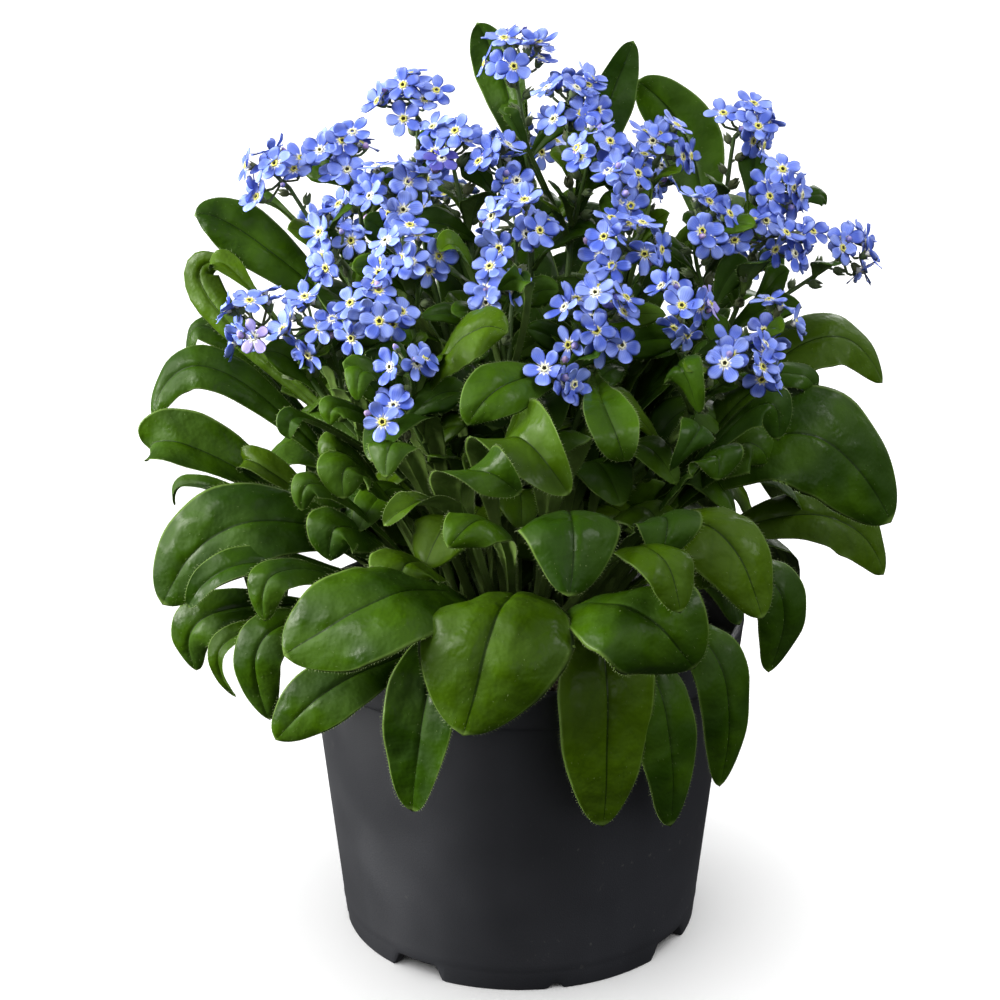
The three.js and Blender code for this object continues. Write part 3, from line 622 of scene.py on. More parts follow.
# Basal leaves: tip x, y, z, middle of the midrib x, y, z, blade width, roll about the midrib in degrees
# and cup of the blade (above zero its edges turn up)
basalLeaves = [
    [-55, -72, 103, -22, -66, 117, 28, -20, -0.08],
    [-13, -86, 89, -3, -72, 117, 36, 0, -0.12],
    [-26, -68, 61, -19, -64, 100, 18, 0, 0.12],
    [20, -70, 58, 19, -66, 103, 24, 0, -0.08],
    [37, -62, 54, 31, -60, 96, 18, 0, -0.1],
    [50, -50, 59, 45, -52, 99, 15, 20, -0.1],
    [40, -80, 103, 20, -74, 117, 29, 15, -0.08],
    [11, -92, 125, 11, -70, 137, 23, 0, -0.15],
    [-16, -82, 133, -5, -66, 132, 14, -20, -0.2],
    [-31, -72, 135, -16, -58, 133, 9, 0, 0.2],
    [0, -80, 145, -14, -66, 142, 14, 20, 0.15],
    [11, -74, 143, -5, -55, 148, 17, 30, 0.3],
    [6, -58, 147, 8, -42, 143, 18, 0, -0.1],
    [36, -86, 119, 26, -70, 129, 15, 0, -0.1],
    [57, -66, 110, 38, -54, 130, 21, 20, -0.12],
    [63, -36, 84, 59, -36, 110, 17, 30, -0.1],
    [95, -18, 118, 61, -22, 141, 30, 50, -0.1],
    [98, 4, 96, 72, 0, 114, 18, 45, -0.08],
    [95, 5, 149, 66, 0, 156, 17, 40, -0.1],
    [-89, -38, 103, -58, -40, 126, 24, -50, -0.06],
    [-81, -48, 106, -57, -46, 117, 9, -30, 0.1],
    [-61, -60, 107, -51, -54, 118, 12, -20, -0.1],
    [-83, -30, 82, -71, -34, 101, 14, -40, -0.06],
    [-72, -38, 78, -67, -40, 97, 7, -20, 0.1],
    [-62, -50, 77, -57, -52, 103, 14, -30, -0.08],
    [-59, -62, 77, -36, -60, 95, 16, -30, -0.08],
    [-96, -6, 134, -74, -12, 131, 16, -45, 0.25],
    [-96, 0, 141, -70, -6, 151, 13, -50, -0.12],
    [-94, 15, 112, -77, 10, 117, 6, -20, 0.1],
    [-88, 15, 147, -74, 12, 157, 10, -30, -0.15],
    [-72, -8, 130, -58, -16, 127, 9, -30, 0.1],
    [-42, -52, 135, -36, -42, 137, 15, -30, -0.1],
    [-52, -52, 132, -43, -46, 134, 9, -30, -0.1],
    [-31, -64, 144, -26, -50, 144, 12, 0, -0.1],
    [47, -50, 139, 41, -40, 138, 16, 20, -0.1],
    [63, -36, 145, 52, -32, 148, 14, 30, -0.1],
    [32, -74, 127, 31, -60, 132, 16, 10, -0.1],
    [-28, -62, 113, -24, -52, 119, 18, -20, -0.1],
    [43, -60, 115, 38, -52, 119, 16, 20, -0.1],
    [-46, -48, 118, -39, -44, 124, 16, -30, -0.1],
    [72, -6, 148, 52, -12, 144, 20, 30, -0.1],
    [60, 20, 158, 44, 14, 146, 18, 30, -0.1],
    [62, -26, 136, 48, -25, 136, 18, 30, -0.1],
    [-64, 8, 151, -48, 3, 144, 18, -30, -0.1],
    [-56, 24, 160, -40, 16, 148, 18, -30, -0.1],
    [-48, -30, 137, -38, -28, 134, 16, -30, -0.1],
]

# Leaves spread by rule. A tier is the tip's reach and height, the share of the reach at which the middle of
# the midrib stands and how far that rises above the tip. Start and finish are degrees from the front.

# Leaves of the far side
farLeaves = {
    "count": 14,
    "start": 100,
    "finish": 262,
    "tiers": ((76, 66, 0.92, 40), (92, 98, 0.78, 22), (88, 128, 0.72, 18)),
    "width": 24,
    "spread": {"reach": 6, "turn": 0.2, "height": 8, "width": 8, "roll": 16},
    "cup": -0.1,
}

# Leaves that stand up inside the others, all round
innerLeaves = {
    "count": 11,
    "tiers": ((56, 122, 0.72, 8),),
    "width": 19,
    "spread": {"reach": 8, "turn": 0.15, "height": 16, "width": 6, "roll": 24},
    "cup": -0.1,
}

# Young leaves low in the middle
youngLeaves = {
    "count": 30,
    "tiers": ((42, 118, 0.62, 3), (33, 140, 0.58, 0), (54, 130, 0.64, 4), (60, 142, 0.64, 2)),
    "width": 15,
    "spread": {"reach": 12, "turn": 0.3, "height": 16, "width": 5, "roll": 50},
    "cup": -0.03,
}

# Short leaves over the rim at the sides and behind
rimLeaves = {
    "count": 18,
    "start": 58,
    "finish": 302,
    "tiers": ((66, 97, 0.74, 20), (56, 108, 0.7, 14), (76, 118, 0.7, 10)),
    "width": 22,
    "spread": {"reach": 8, "turn": 0.25, "height": 8, "width": 7, "roll": 30},
    "cup": -0.06,
}

# Long leaves that stand up at the sides and behind, between the stems
tallLeaves = {
    "count": 18,
    "start": 70,
    "finish": 290,
    "tiers": ((40, 160, 0.52, -26), (52, 172, 0.52, -32), (34, 184, 0.5, -40)),
    "width": 21,
    "spread": {"reach": 10, "turn": 0.3, "height": 12, "width": 6, "roll": 50},
    "cup": -0.04,
}

leafForm = {
    "basalBluntness": 1.9,  # of the tips: 2 is round and less is pointed
    "stemBluntness": 1.4,
    "bladeThickness": 0.3,
    "petioleHalfWidth": 1.3,
    "petioleDepth": 1.7,
    "petioleNeck": 0.2,
    "rootCircle": 19.5,
    "crownTop": 91,
    "midribGroove": 0.45,  # depth on the upper side
    "midribRidge": 0.7,  # height on the underside
    "quilting": 0.13,
    "veins": 6.5,  # side veins along a blade
    "veinSlant": 1.5,
    "edgeWave": 0.03,  # of the width
    "hairLength": 0.95,
    "hairRadius": 0.045,
    # for the simplest leaves, the ones inside and the finest
    "hairSpacing": (1.7, 1.5, 0.85),
    "rows": (7, 12, 18),
    "rowsForWidth": (0.35, 0.6, 0.8),
    "columns": ((0.12, 0.42, 0.76, 1), (0.08, 0.22, 0.45, 0.7, 0.9, 1),
                (0.035, 0.09, 0.2, 0.36, 0.53, 0.7, 0.84, 0.95, 1)),
}

# Bright and deep green of the upper side, and pale green of the underside
leafColours = {
    "basal": ((0.036, 0.086, 0.0012), (0.014, 0.039, 0.0008), (0.105, 0.17, 0.035)),
    # The stem leaves' greens are a little brighter than the basal ones: painted light for the light that
    # shines through the upper leaves
    "stem": ((0.040, 0.098, 0.0016), (0.015, 0.042, 0.0010), (0.10, 0.165, 0.035)),
    "hairs": ((0.12, 0.19, 0.04), (0.33, 0.42, 0.18), (0.45, 0.5, 0.3)),
}


def bladeShape(along, bluntness):
    # Half width of a blade as a share of its greatest, from the end of its stalk to its tip
    widest = 0.5 ** (1 / 1.35)
    foot = np.sin(np.pi * np.clip(along, 0, widest) ** 1.35) ** 0.75
    return foot * np.sqrt(1 - np.clip((along - widest) / (1 - widest), 0, 1) ** bluntness)


def leafColumns(detail):
    # Where the points across a blade stand, from -1 at its left edge to 1 at its right one
    half = leafForm["columns"][detail]
    return vector([-t for t in reversed(half)] + [0] + list(half))


def addLeaf(heap, hairs, root, leaf, neck, stalk, index, detail):
    # A closed blade on its stalk, with a sunken midrib, quilting between its side veins and a wavy edge
    tip, middle, (width, roll, cup) = vector(leaf[:3]), vector(leaf[3:6]), leaf[6:]
    root = vector(root)
    bend = 2 * middle - 0.5 * root - 0.5 * tip
    bluntness = leafForm["basalBluntness" if neck == leafForm["petioleNeck"] else "stemBluntness"]
    t = leafColumns(detail)
    bladeRows = int(leafForm["rows"][detail] + width * leafForm["rowsForWidth"][detail])
    blade = 1 - (1 - np.linspace(0, 1, bladeRows)) ** 1.6
    stalkRows = 8 if neck > 0.1 and detail else 3
    share = np.concatenate([np.linspace(0, neck, stalkRows)[:-1], neck + (1 - neck) * blade])[:-1]
    along = (share - neck) / (1 - neck)
    s = share[:, None]
    centre = (1 - s) ** 2 * root + 2 * s * (1 - s) * bend + s ** 2 * tip
    tangent = unit((1 - s) * (bend - root) + s * (tip - bend))
    outward = unit((tip - root) * [1, 1, 0])
    sideways = vector([-outward[1], outward[0], 0])
    side = unit(sideways - tangent * (tangent @ sideways)[:, None])
    turn = math.radians(roll)
    side = side * math.cos(turn) + np.cross(tangent, side) * math.sin(turn)
    up = -np.cross(side, tangent)
    phase = [jitter(index, 60 + use) * 2 * math.pi for use in range(6)]
    joined = smoothStep(-0.12, 0.16, along)[:, None]  # from the round stalk to the flat blade
    half = np.hypot(stalk * (1 - smoothStep(0, 0.5, along)), width / 2 * bladeShape(along, bluntness))
    sway = 0.02 * width * np.sin(2 * math.pi * along + phase[0])
    sway = sway * smoothStep(0, 0.3, along) * (1 - smoothStep(0.8, 1, along))
    centre = centre + side * sway[:, None]
    a = along[:, None]
    uneven = 1 + 0.05 * np.sin(2.2 * a * math.pi + phase[1] + np.sign(t) * 0.9) * np.abs(t)
    x = t * half[:, None]
    window = smoothStep(0, 0.2, a) * (1 - smoothStep(0.82, 0.98, a))
    veinPhase = leafForm["veins"] * a - leafForm["veinSlant"] * np.abs(t) + (t > 0) * 0.5
    quilt = (leafForm["quilting"] * min(width / 20, 1.2) * np.cos(2 * math.pi * veinPhase)
             * np.sin(math.pi * np.clip(np.abs(t) * 1.05, 0, 1)))
    blister = 0.013 * width * np.sin(0.42 * x + 9 * a + phase[2]) * np.sin(0.3 * x - 14 * a + phase[3])
    groove = leafForm["midribGroove"] * np.exp(-(x / 0.5) ** 2) * (1 - smoothStep(0.75, 1, a))
    wave = np.sin(2 * math.pi * (2.1 * a + phase[4]) + np.sign(t) * 1.3)
    wave = leafForm["edgeWave"] * width * wave * t ** 2
    crimp = 0.012 * width * t ** 4 * np.sin(2 * math.pi * 5.3 * a + phase[5] * np.sign(t))
    top = (half[:, None] * (2 * cup * t ** 2 + 0.05 * np.sin(math.pi * np.abs(t)) * joined)
           - groove + window * (quilt + blister + wave + crimp))
    ridge = leafForm["midribRidge"] * np.exp(-(x / 0.75) ** 2) * (1 - 0.85 * a.clip(0, 1))
    depth = (leafForm["bladeThickness"] + ridge) * (1 - t ** 6)
    rounded = leafForm["petioleDepth"] * min(1, stalk / leafForm["petioleHalfWidth"]) * np.sqrt(1 - t ** 2)
    depth = rounded * (1 - joined) + depth * joined
    reach = (x * uneven)[:, :, None] * side[:, None]
    upper = centre[:, None] + reach + top[:, :, None] * up[:, None]
    under = centre[:, None] + reach + (top - depth)[:, :, None] * up[:, None]
    rings = np.concatenate([upper, under[:, -2:0:-1]], axis=1)
    tint = jitter(index, 70)
    columns = len(t)
    shade = np.zeros((*rings.shape[:2], 4))
    shade[:, :, 0] = 0.1 + 0.9 * a.clip(-0.1, 1)
    shade[:, :columns, 1] = 0.5 + 0.5 * t
    shade[:, columns:, 1] = 0.5 + 0.5 * t[-2:0:-1]
    shade[:, :columns, 2] = 1
    shade[:, :, 3] = tint
    point = tip + tangent[-1] * 0.4 - up[-1] * 0.1
    addRings(heap, rings, shade, centre[0] - up[0] * 0.3, point, flip=True)
    addLeafHairs(hairs, upper, side, tangent, up, width, index, detail)


def addLeafHairs(hairs, upper, side, tangent, up, width, index, detail):
    # Fine hairs round a blade's edge and, on the finest leaves, also on its upper side
    tint = jitter(index, 70)
    edge = np.concatenate([upper[:, 0], upper[:, -1]])
    out = np.concatenate([-side, side])
    ahead = np.concatenate([tangent, tangent])
    lift = np.concatenate([up, up])
    spans = np.linalg.norm(np.diff(edge, axis=0), axis=1)
    spans[len(upper) - 1] = 0  # the jump from the left edge's tip to the right edge's foot
    miles = np.concatenate([[0], np.cumsum(spans)])
    count = int(miles[-1] / leafForm["hairSpacing"][detail])
    wanted = (np.arange(count) + 0.5) / count * miles[-1]
    near = np.searchsorted(miles, wanted).clip(0, len(edge) - 1)
    places = pointAt(edge, miles, wanted) - out[near] * 0.05
    wobble = jitterRows(index * 400, count, (80, 81, 82)) - 0.5
    lean = out[near] + ahead[near] * (0.5 + 0.7 * wobble[:, :1]) + lift[near] * (0.2 + 0.9 * wobble[:, 1:2])
    lengths = leafForm["hairLength"] * (0.75 + 0.6 * wobble[:, 2])
    addHairs(hairs, places, lean, lengths, leafForm["hairRadius"], (0.8, tint, 0, 0))
    if detail == 2:
        spots = jitterRows(index * 300, int(width * 4), (85, 86, 87))
        row = (spots[:, 0] * (len(upper) - 4) + 2).astype(int)
        columns = upper.shape[1]
        column = (spots[:, 1] * columns).astype(int).clip(1, columns - 2)
        lean = up[row] + tangent[row] * (0.6 + spots[:, 2:3])
        addHairs(hairs, upper[row, column], lean, 0.55, 0.025, (0.5, tint, 0, 0))


def basalRoot(leaf):
    # Where a leaf's stalk leaves the crown, higher up for the leaves that stand higher
    direction = math.atan2(leaf[3], -leaf[4])
    drop = 6 - (leaf[5] - 100) / 15
    circle = leafForm["rootCircle"]
    return circle * math.sin(direction), -circle * math.cos(direction), leafForm["crownTop"] - drop


def ruledLeaf(rule, tier, turn, index):
    # The numbers of one leaf, as in the table of basal leaves
    reach, height, middle, rise = tier
    spread = rule["spread"]
    middleTurn = turn + scatter(spread["turn"], index, 1)
    out = reach + scatter(spread["reach"], index, 2)
    inner = out * middle
    lift = scatter(spread["height"], index, 3)
    width = rule["width"] + scatter(spread["width"], index, 4)
    roll = scatter(spread["roll"], index, 5)
    return [out * math.sin(turn), -out * math.cos(turn), height + lift,
            inner * math.sin(middleTurn), -inner * math.cos(middleTurn), height + rise + lift,
            width, roll, rule["cup"]]


def turnsBetween(rule):
    start, sweep = rule["start"], rule["finish"] - rule["start"]
    return [math.radians(start + sweep * (i + 0.5) / rule["count"]) for i in range(rule["count"])]


def turnsAllRound(rule, wander, use):
    return [(i + wander * jitter(i, use)) / rule["count"] * 2 * math.pi for i in range(rule["count"])]


def ruledLeaves():
    # Each rule with its leaves' directions and the first index of their scatter
    groups = ((farLeaves, turnsBetween(farLeaves), 0),
              (innerLeaves, turnsAllRound(innerLeaves, 1 / 3, 6), 14),
              (youngLeaves, turnsAllRound(youngLeaves, 0.6, 7), 30),
              (tallLeaves, turnsBetween(tallLeaves), 70),
              (rimLeaves, turnsBetween(rimLeaves), 100))
    leaves = []
    for rule, turns, first in groups:
        for i, turn in enumerate(turns):
            leaves.append(ruledLeaf(rule, rule["tiers"][i % len(rule["tiers"])], turn, first + i))
    return leaves


def addCrown(heap):
    # Swollen ring of leaf bases, half sunk in the soil
    sides = 140
    angles = roundAngles(sides)
    ripple = 0.55 * np.abs(np.sin(11 * angles)) + 0.4 * np.abs(np.sin(17 * angles + 1))
    outline = ((15, 76), (24, 76), (25, 80), (25, 84), (24, 87.5), (22, 90), (19, 91), (16.5, 90.4), (15, 88))
    points = np.array([ringAt(radius + ripple * (1 if radius > 20 else -0.3), angles,
                              height + ripple * (0.6 if height > 80 else 0)) for radius, height in outline])
    rows = len(points)
    row, side = np.meshgrid(np.arange(rows), np.arange(sides), indexing="ij")
    after, above = (side + 1) % sides, (row + 1) % rows
    quads = np.stack([row * sides + side, row * sides + after,
                      above * sides + after, above * sides + side], axis=-1).reshape(-1, 4)
    addShape(heap, points, [quads], (0.3, 0.25, 1, 0.15))


def leafSurface(name, colours, roughness):
    # Soft patchy gloss on the upper side, duller underneath, with a pale edge, faint side veins and a dark
    # line of painted shade in the midrib's groove
    bright, deep, pale = colours
    material, tree, shader = newMaterial(name, roughness, 0.12)
    along, across, face, tint = readShade(tree)
    off = addMath(tree, "ABSOLUTE", addMath(tree, "MULTIPLY_ADD", across, 2.0, -1.0))
    patches = addNoise(tree, 70, 1)
    blister = addNoise(tree, 150, 1)
    cells = addNoise(tree, 1000, 0)
    colour = addMix(tree, addStep(tree, patches, 0.3, 0.7), deep, bright)
    yellowed = tuple(a * b for a, b in zip(bright, (1.6, 1.25, 0.8)))
    cooled = tuple(a * b for a, b in zip(deep, (0.72, 0.86, 1.3)))
    colour = addMix(tree, addStep(tree, tint, 0.55, 1.0, 0, 0.6), colour, yellowed)
    colour = addMix(tree, addStep(tree, tint, 0.4, 0.0, 0, 0.6), colour, cooled)
    colour = addMix(tree, addMath(tree, "MULTIPLY", cells, 0.2), colour, deep)
    # Side veins slant from the midrib towards the tip
    count, slant = leafForm["veins"] / 0.9, leafForm["veinSlant"]
    run = addMath(tree, "MULTIPLY", along, count)
    run = addMath(tree, "SUBTRACT", run, addMath(tree, "MULTIPLY", off, slant))
    half = addMath(tree, "MULTIPLY", addMath(tree, "GREATER_THAN", across, 0.5), 0.5)
    run = addMath(tree, "ADD", run, addMath(tree, "SUBTRACT", half, 0.1 * count))
    run = addMath(tree, "ADD", run, addMath(tree, "MULTIPLY", patches, 1.1))
    near = addMath(tree, "PINGPONG", addMath(tree, "ADD", run, 0.33), 0.5)
    inside = addMath(tree, "MULTIPLY", addStep(tree, off, 0.95, 0.6), addStep(tree, along, 0.12, 0.3))
    vein = addMath(tree, "MULTIPLY", addStep(tree, near, 0.36, 0.5), inside)
    midrib = addStep(tree, off, 0.035, 0.008)
    colour = addMix(tree, addMath(tree, "MULTIPLY", vein, 0.16), colour, deep)
    # The dark line along the midrib on the upper side is painted shade in its groove
    colour = addMix(tree, addMath(tree, "MULTIPLY", midrib, 0.8), colour, scaled(deep, 0.45))
    # The underside's veins are paler than the rest of it
    under = addMix(tree, addStep(tree, patches, 0.3, 0.7), scaled(pale, 0.8), pale)
    lines = addMath(tree, "MAXIMUM", addMath(tree, "MULTIPLY", vein, 0.4), midrib)
    under = addMix(tree, lines, under, scaled(pale, 1.35))
    colour = addMix(tree, face, under, colour)
    edge = addStep(tree, off, 0.92, 1.0, 0, 0.7)
    edge = addMath(tree, "MAXIMUM", edge, addStep(tree, along, 0.985, 1.0, 0, 0.7))
    colour = addMix(tree, edge, colour, scaled(pale, 1.3))
    colour = addMix(tree, addStep(tree, along, 0.22, 0.05, 0, 0.6), colour, scaled(pale, 0.6))
    shine = addStep(tree, blister, 0.42, 0.6, roughness + 0.2, roughness - 0.08)
    duller = addMath(tree, "MULTIPLY", addMath(tree, "SUBTRACT", 1.0, face), 0.2)
    setSkin(tree, shader, colour, addMath(tree, "ADD", shine, duller))
    relief = addMath(tree, "MULTIPLY", blister, 3.8)
    addBump(tree, shader, addMath(tree, "ADD", addMath(tree, "MULTIPLY", cells, 0.3), relief), 0.55, 0.0006)
    return material


def hairMaterial():
    # Whitish hairs, a little greener towards the plant
    near, far, bleached = leafColours["hairs"]
    material, tree, shader = newMaterial("plantHairs", 0.6, 0.3)
    tone = addNoise(tree, 300, 0)
    colour = addMix(tree, readShade(tree)[0], near, far)
    colour = addMix(tree, addMath(tree, "MULTIPLY", tone, 0.3), colour, bleached)
    setSkin(tree, shader, colour, addStep(tree, tone, 0.3, 0.7, 0.5, 0.7))
    return material


basalSurface = leafSurface("basalLeafSurface", leafColours["basal"], 0.42)
stemLeafSurface = leafSurface("stemLeafSurface", leafColours["stem"], 0.44)
hairSurface = hairMaterial()

leafHairs = newHeap()
quarters = ("front", "right", "back", "left")
basalHeaps = {name: newHeap() for name in quarters}
for number, leaf in enumerate(basalLeaves + ruledLeaves()):
    quarter = quarters[int((math.degrees(math.atan2(leaf[3], -leaf[4])) + 45) % 360 // 90)]
    addLeaf(basalHeaps[quarter], leafHairs, basalRoot(leaf), leaf, leafForm["petioleNeck"],
            leafForm["petioleHalfWidth"], number, 2 if number < len(basalLeaves) else 1)
addCrown(basalHeaps["front"])
for name, heap in basalHeaps.items():
    makePiece("basal_leaves_" + name, heap, basalSurface, ["rosette"])
makePiece("basal_leaf_hairs", leafHairs, hairSurface)
print("basal leaves made")


# Flowering stems

# Foot in the soil, fork where the stalks part, the heads they carry and the stem's leaves.
# A head is its centre x, y, z, its half sizes across and up, and its number of flowers. A leaf is
# the share of the stem's way that it sits at, then the same numbers as a basal leaf.
floweringStems = [
    ([-9, -5], [-44, -22, 146],
     [[-65, -22, 171, 8, 8, 5], [-50, -29, 172, 8, 8, 5], [-45, -15, 186, 7, 8, 4]],
     [[0.75, -79, -2, 180, -69, -5, 177, 8, -30, 0.1], [0.625, -76, 10, 180, -80, 10, 168, 10, -70, -0.15],
      [0.625, -56, -38, 146, -52, -34, 150, 7, -30, 0.1], [0.75, -53, -32, 162, -48, -28, 162, 9, -30, 0.1]]),
    ([-11, 1], [-42, 4, 172],
     [[-62, 5, 203, 8, 8, 5], [-45, 6, 207, 8, 8, 5]],
     [[0.625, -83, 5, 193, -65, 4, 185, 15, -60, -0.1], [0.75, -71, 20, 191, -63, 18, 193, 6, -30, 0.1]]),
    ([-8, 7], [-25, 12, 186], [[-28, 12, 221, 9, 7, 6]], []),
    ([-4.5, 2.5], [-12, 2, 182], [[-18, 1, 210, 7, 7, 5], [-5, -5, 205, 6, 8, 4]], []),
    ([-6.5, -1.5], [-27, -13, 168], [[-32, -6, 200, 9, 8, 6], [-27, -28, 188, 8, 8, 6]], []),
    ([0, 7], [3, 14, 196], [[-1, 14, 231, 8, 8, 6]], [[0.75, -11, 27, 239, -4, 25, 223, 13, -65, 0.1]]),
    ([3, 3], [13, 5, 186],
     [[13, 6, 221, 8, 8, 6], [18, -5, 211, 7, 6, 4]],
     [[0.75, 29, 20, 235, 21, 15, 214, 12, 65, 0.1], [0.75, -3, 2, 219, 1, 2, 212, 6, -50, 0.1]]),
    ([6.5, 0], [26, -6, 174],
     [[25, -14, 203, 5, 6, 3], [36, 1, 210, 7, 7, 4]],
     [[0.625, 32, -5, 203, 30, -8, 191, 8, 20, 0.1]]),
    ([8.5, 6.5], [49, 8, 178],
     [[57, 8, 215, 8, 6, 5], [64, -4, 201, 7, 7, 5]],
     [[0.75, 31, 30, 224, 45, 27, 206, 18, -60, -0.1], [0.75, 79, 10, 195, 71, 8, 196, 8, 30, -0.1]]),
    ([10.5, 1], [52, -6, 164],
     [[61, -14, 190, 12, 6, 7], [83, -5, 185, 6, 7, 4], [45, -19, 195, 7, 7, 4]],
     [[0.625, 75, -10, 149, 67, -12, 156, 10, 30, -0.1]]),
    ([3, -4.5], [18, -26, 160],
     [[25, -27, 191, 10, 7, 6], [18, -43, 176, 9, 9, 7], [9, -50, 165, 5, 4, 2]],
     [[0.75, -12, -62, 156, -1, -56, 165, 14, -40, -0.1], [0.75, 24, -68, 149, 20, -62, 159, 12, 10, 0.12]]),
    ([8.5, -5.5], [42, -28, 150],
     [[38, -42, 179, 7, 7, 4], [53, -45, 166, 8, 6, 5], [62, -24, 171, 6, 6, 3]],
     [[0.75, 42, -52, 156, 37, -48, 167, 11, 40, -0.15], [0.625, 35, -62, 145, 42, -54, 154, 9, -30, -0.1]]),
    ([-1, -8], [-3, -28, 156],
     [[-1, -24, 195, 8, 8, 6], [-6, -35, 182, 5, 6, 3]],
     [[0.75, -5, -45, 184, 2, -42, 183, 7, -40, 0.1], [0.75, -19, -34, 191, -12, -30, 187, 8, -30, 0.1]]),
    ([-6, -8], [-26, -32, 148],
     [[-35, -38, 176, 7, 8, 5], [-27, -50, 168, 5, 5, 2], [-32, -54, 156, 5, 4, 2]],
     [[0.75, -3, -50, 175, -15, -46, 172, 16, 50, -0.12], [0.75, -38, -52, 159, -36, -47, 165, 8, -20, -0.1],
      [0.625, -45, -48, 152, -40, -44, 155, 9, -30, -0.1]]),
    ([-5.5, 10], [-36, 34, 156],
     [[-48, 33, 184, 8, 8, 4], [-24, 42, 190, 8, 8, 4]],
     [[0.625, -66, 44, 168, -52, 36, 168, 12, 0, -0.1], [0.5, -34, 66, 158, -30, 48, 158, 12, 0, -0.1]]),
    ([2.5, 10.5], [8, 36, 160],
     [[2, 40, 205, 8, 8, 4], [14, 56, 178, 8, 8, 4]],
     [[0.625, -12, 62, 176, -2, 46, 174, 13, 0, -0.1], [0.5, 12, 70, 158, 8, 52, 157, 12, 0, -0.1]]),
    ([7.5, 9], [42, 32, 158],
     [[34, 40, 196, 8, 8, 4], [58, 34, 180, 8, 8, 4]],
     [[0.625, 70, 48, 160, 56, 40, 164, 12, 0, -0.1], [0.5, 46, 62, 150, 38, 46, 150, 12, 0, -0.1]]),
]

stemForm = {
    "footRadius": 1.35,
    "endRadius": 0.5,
    "footHeight": 68,
    "crownTop": 91,
    "bendShare": 0.42,
    "bendRise": 0.12,
    "kneeShare": 0.3,
    "kneeDrop": 8,
    "forkShare": 0.75,
    "pathSteps": 40,
    "stalkSteps": 14,
    "leafStalk": 0.8,
    "leafNeck": 0.05,
    "coreShare": 0.3,
    "coreDrop": 0.35,
    "hairLength": 0.9,
    "hairRadius": 0.035,
    "hairsPerMillimetre": 0.75,
    "spentCalyces": 5,  # along the end of each stalk
    "spentGap": 3.6,
    "green": ((0.030, 0.066, 0.008), (0.062, 0.118, 0.020)),
    "brownFoot": (0.035, 0.042, 0.010),
    "ribs": (0.09, 0.15, 0.045),
}

# More small leaves along each stem, spread by rule
stemFoliage = {
    "shares": (0.28, 0.34, 0.4, 0.46, 0.52, 0.58, 0.64, 0.7, 0.76, 0.82, 0.88),
    "stalkShares": (0.2, 0.5, 0.8),
    "length": (23, 36),
    "width": (10.5, 15.5),
    "climb": (0.35, 1.7),
    "upperSize": 0.62,  # of the leaves just under the flowers
    "faceOut": 58,  # degrees that a leaf turns its upper side to the front
    "cup": -0.05,
}


def foliageLeaf(foot, size, number, place):
    # A small leaf that rises from a point on stem number
    f = stemFoliage
    seed = number * 13 + place
    length, width, climb = [low + (high - low) * jitter(seed, use) for use, (low, high) in
                            ((95, f["length"]), (96, f["width"]), (97, f["climb"]))]
    away = math.atan2(foot[0], -foot[1])
    turn = away + ((goldenAngle * place + number) % (2 * math.pi) - math.pi) * 0.8
    out = length * size / math.hypot(1, climb)
    rise = out * climb
    way = vector([math.sin(turn), -math.cos(turn), 0])
    tip = foot + way * out + [0, 0, rise * 0.8]
    middle = foot + way * out * 0.5 + [0, 0, rise * 0.5 + out * 0.12]
    roll = f["faceOut"] * math.sin(turn) + scatter(44, seed, 98)
    return [*tip, *middle, width * size, roll, f["cup"]]


def headForm(head):
    # Centre, facing, half sizes, the place inside where its stalks part, and the size of that core
    centre, across, up = vector(head[:3]), head[3], head[4]
    facing = unit(vector([centre[0] / 90, centre[1] / 90 - 0.5, 0.8]))
    half = vector([across, min(across, up), up])
    root = centre - facing * stemForm["coreDrop"] * up
    return centre, facing, half, root, stemForm["coreShare"] * min(across, up)


def stalkEnd(head):
    _, facing, _, root, coreRadius = headForm(head)
    return root - facing * (coreRadius + 0.3)


def smoothPath(stops, count):
    # Points along a smooth curve through the stops
    stops = [vector(stop) for stop in stops]
    stops = [2 * stops[0] - stops[1]] + stops + [2 * stops[-1] - stops[-2]]
    gaps = [np.linalg.norm(b - a) ** 0.5 for a, b in zip(stops, stops[1:])]
    spans = len(stops) - 3
    path = []
    for share in np.linspace(0, 1, count):
        at = min(int(share * spans), spans - 1)
        t = share * spans - at
        x0, x1, x2, x3 = stops[at:at + 4]
        d0, d1, d2 = gaps[at:at + 3]
        t1 = ((x1 - x0) / d0 - (x2 - x0) / (d0 + d1) + (x2 - x1) / d1) * d1
        t2 = ((x2 - x1) / d1 - (x3 - x1) / (d1 + d2) + (x3 - x2) / d2) * d1
        path.append(x1 + t1 * t + (-3 * x1 + 3 * x2 - 2 * t1 - t2) * t ** 2
                    + (2 * x1 - 2 * x2 + t1 + t2) * t ** 3)
    return np.array(path)


def addRod(heap, hairs, path, startRadius, endRadius, seed, hairsFrom=0.0):
    # A thinning stem with hairs all over, or only beyond the share hairsFrom of its length
    radii = np.linspace(startRadius, endRadius, len(path))
    shade = np.zeros((len(path), 4))
    shade[:, 0] = np.linspace(0, 1, len(path))
    shade[:, 3] = jitter(seed, 90)
    along, across, beside = addTube(heap, path, radii, 8, shade)
    count = int(pathMiles(path)[-1] * stemForm["hairsPerMillimetre"])
    spots = jitterRows(seed * 500, count, (91, 92, 93))
    at = (hairsFrom + (1 - hairsFrom) * spots[:, 0]) * (len(path) - 1)
    low = at.astype(int).clip(0, len(path) - 2)
    part = (at - low)[:, None]
    place = path[low] * (1 - part) + path[low + 1] * part
    turn = spots[:, 1:2] * 2 * math.pi
    out = across[low] * np.cos(turn) + beside[low] * np.sin(turn)
    feet = place + out * radii[low][:, None] * 0.9
    lengths = stemForm["hairLength"] * (0.6 + 0.6 * spots[:, 2])
    addHairs(hairs, feet, out + along[low] * 0.35, lengths, stemForm["hairRadius"], (0.7, 0, 0, 0))


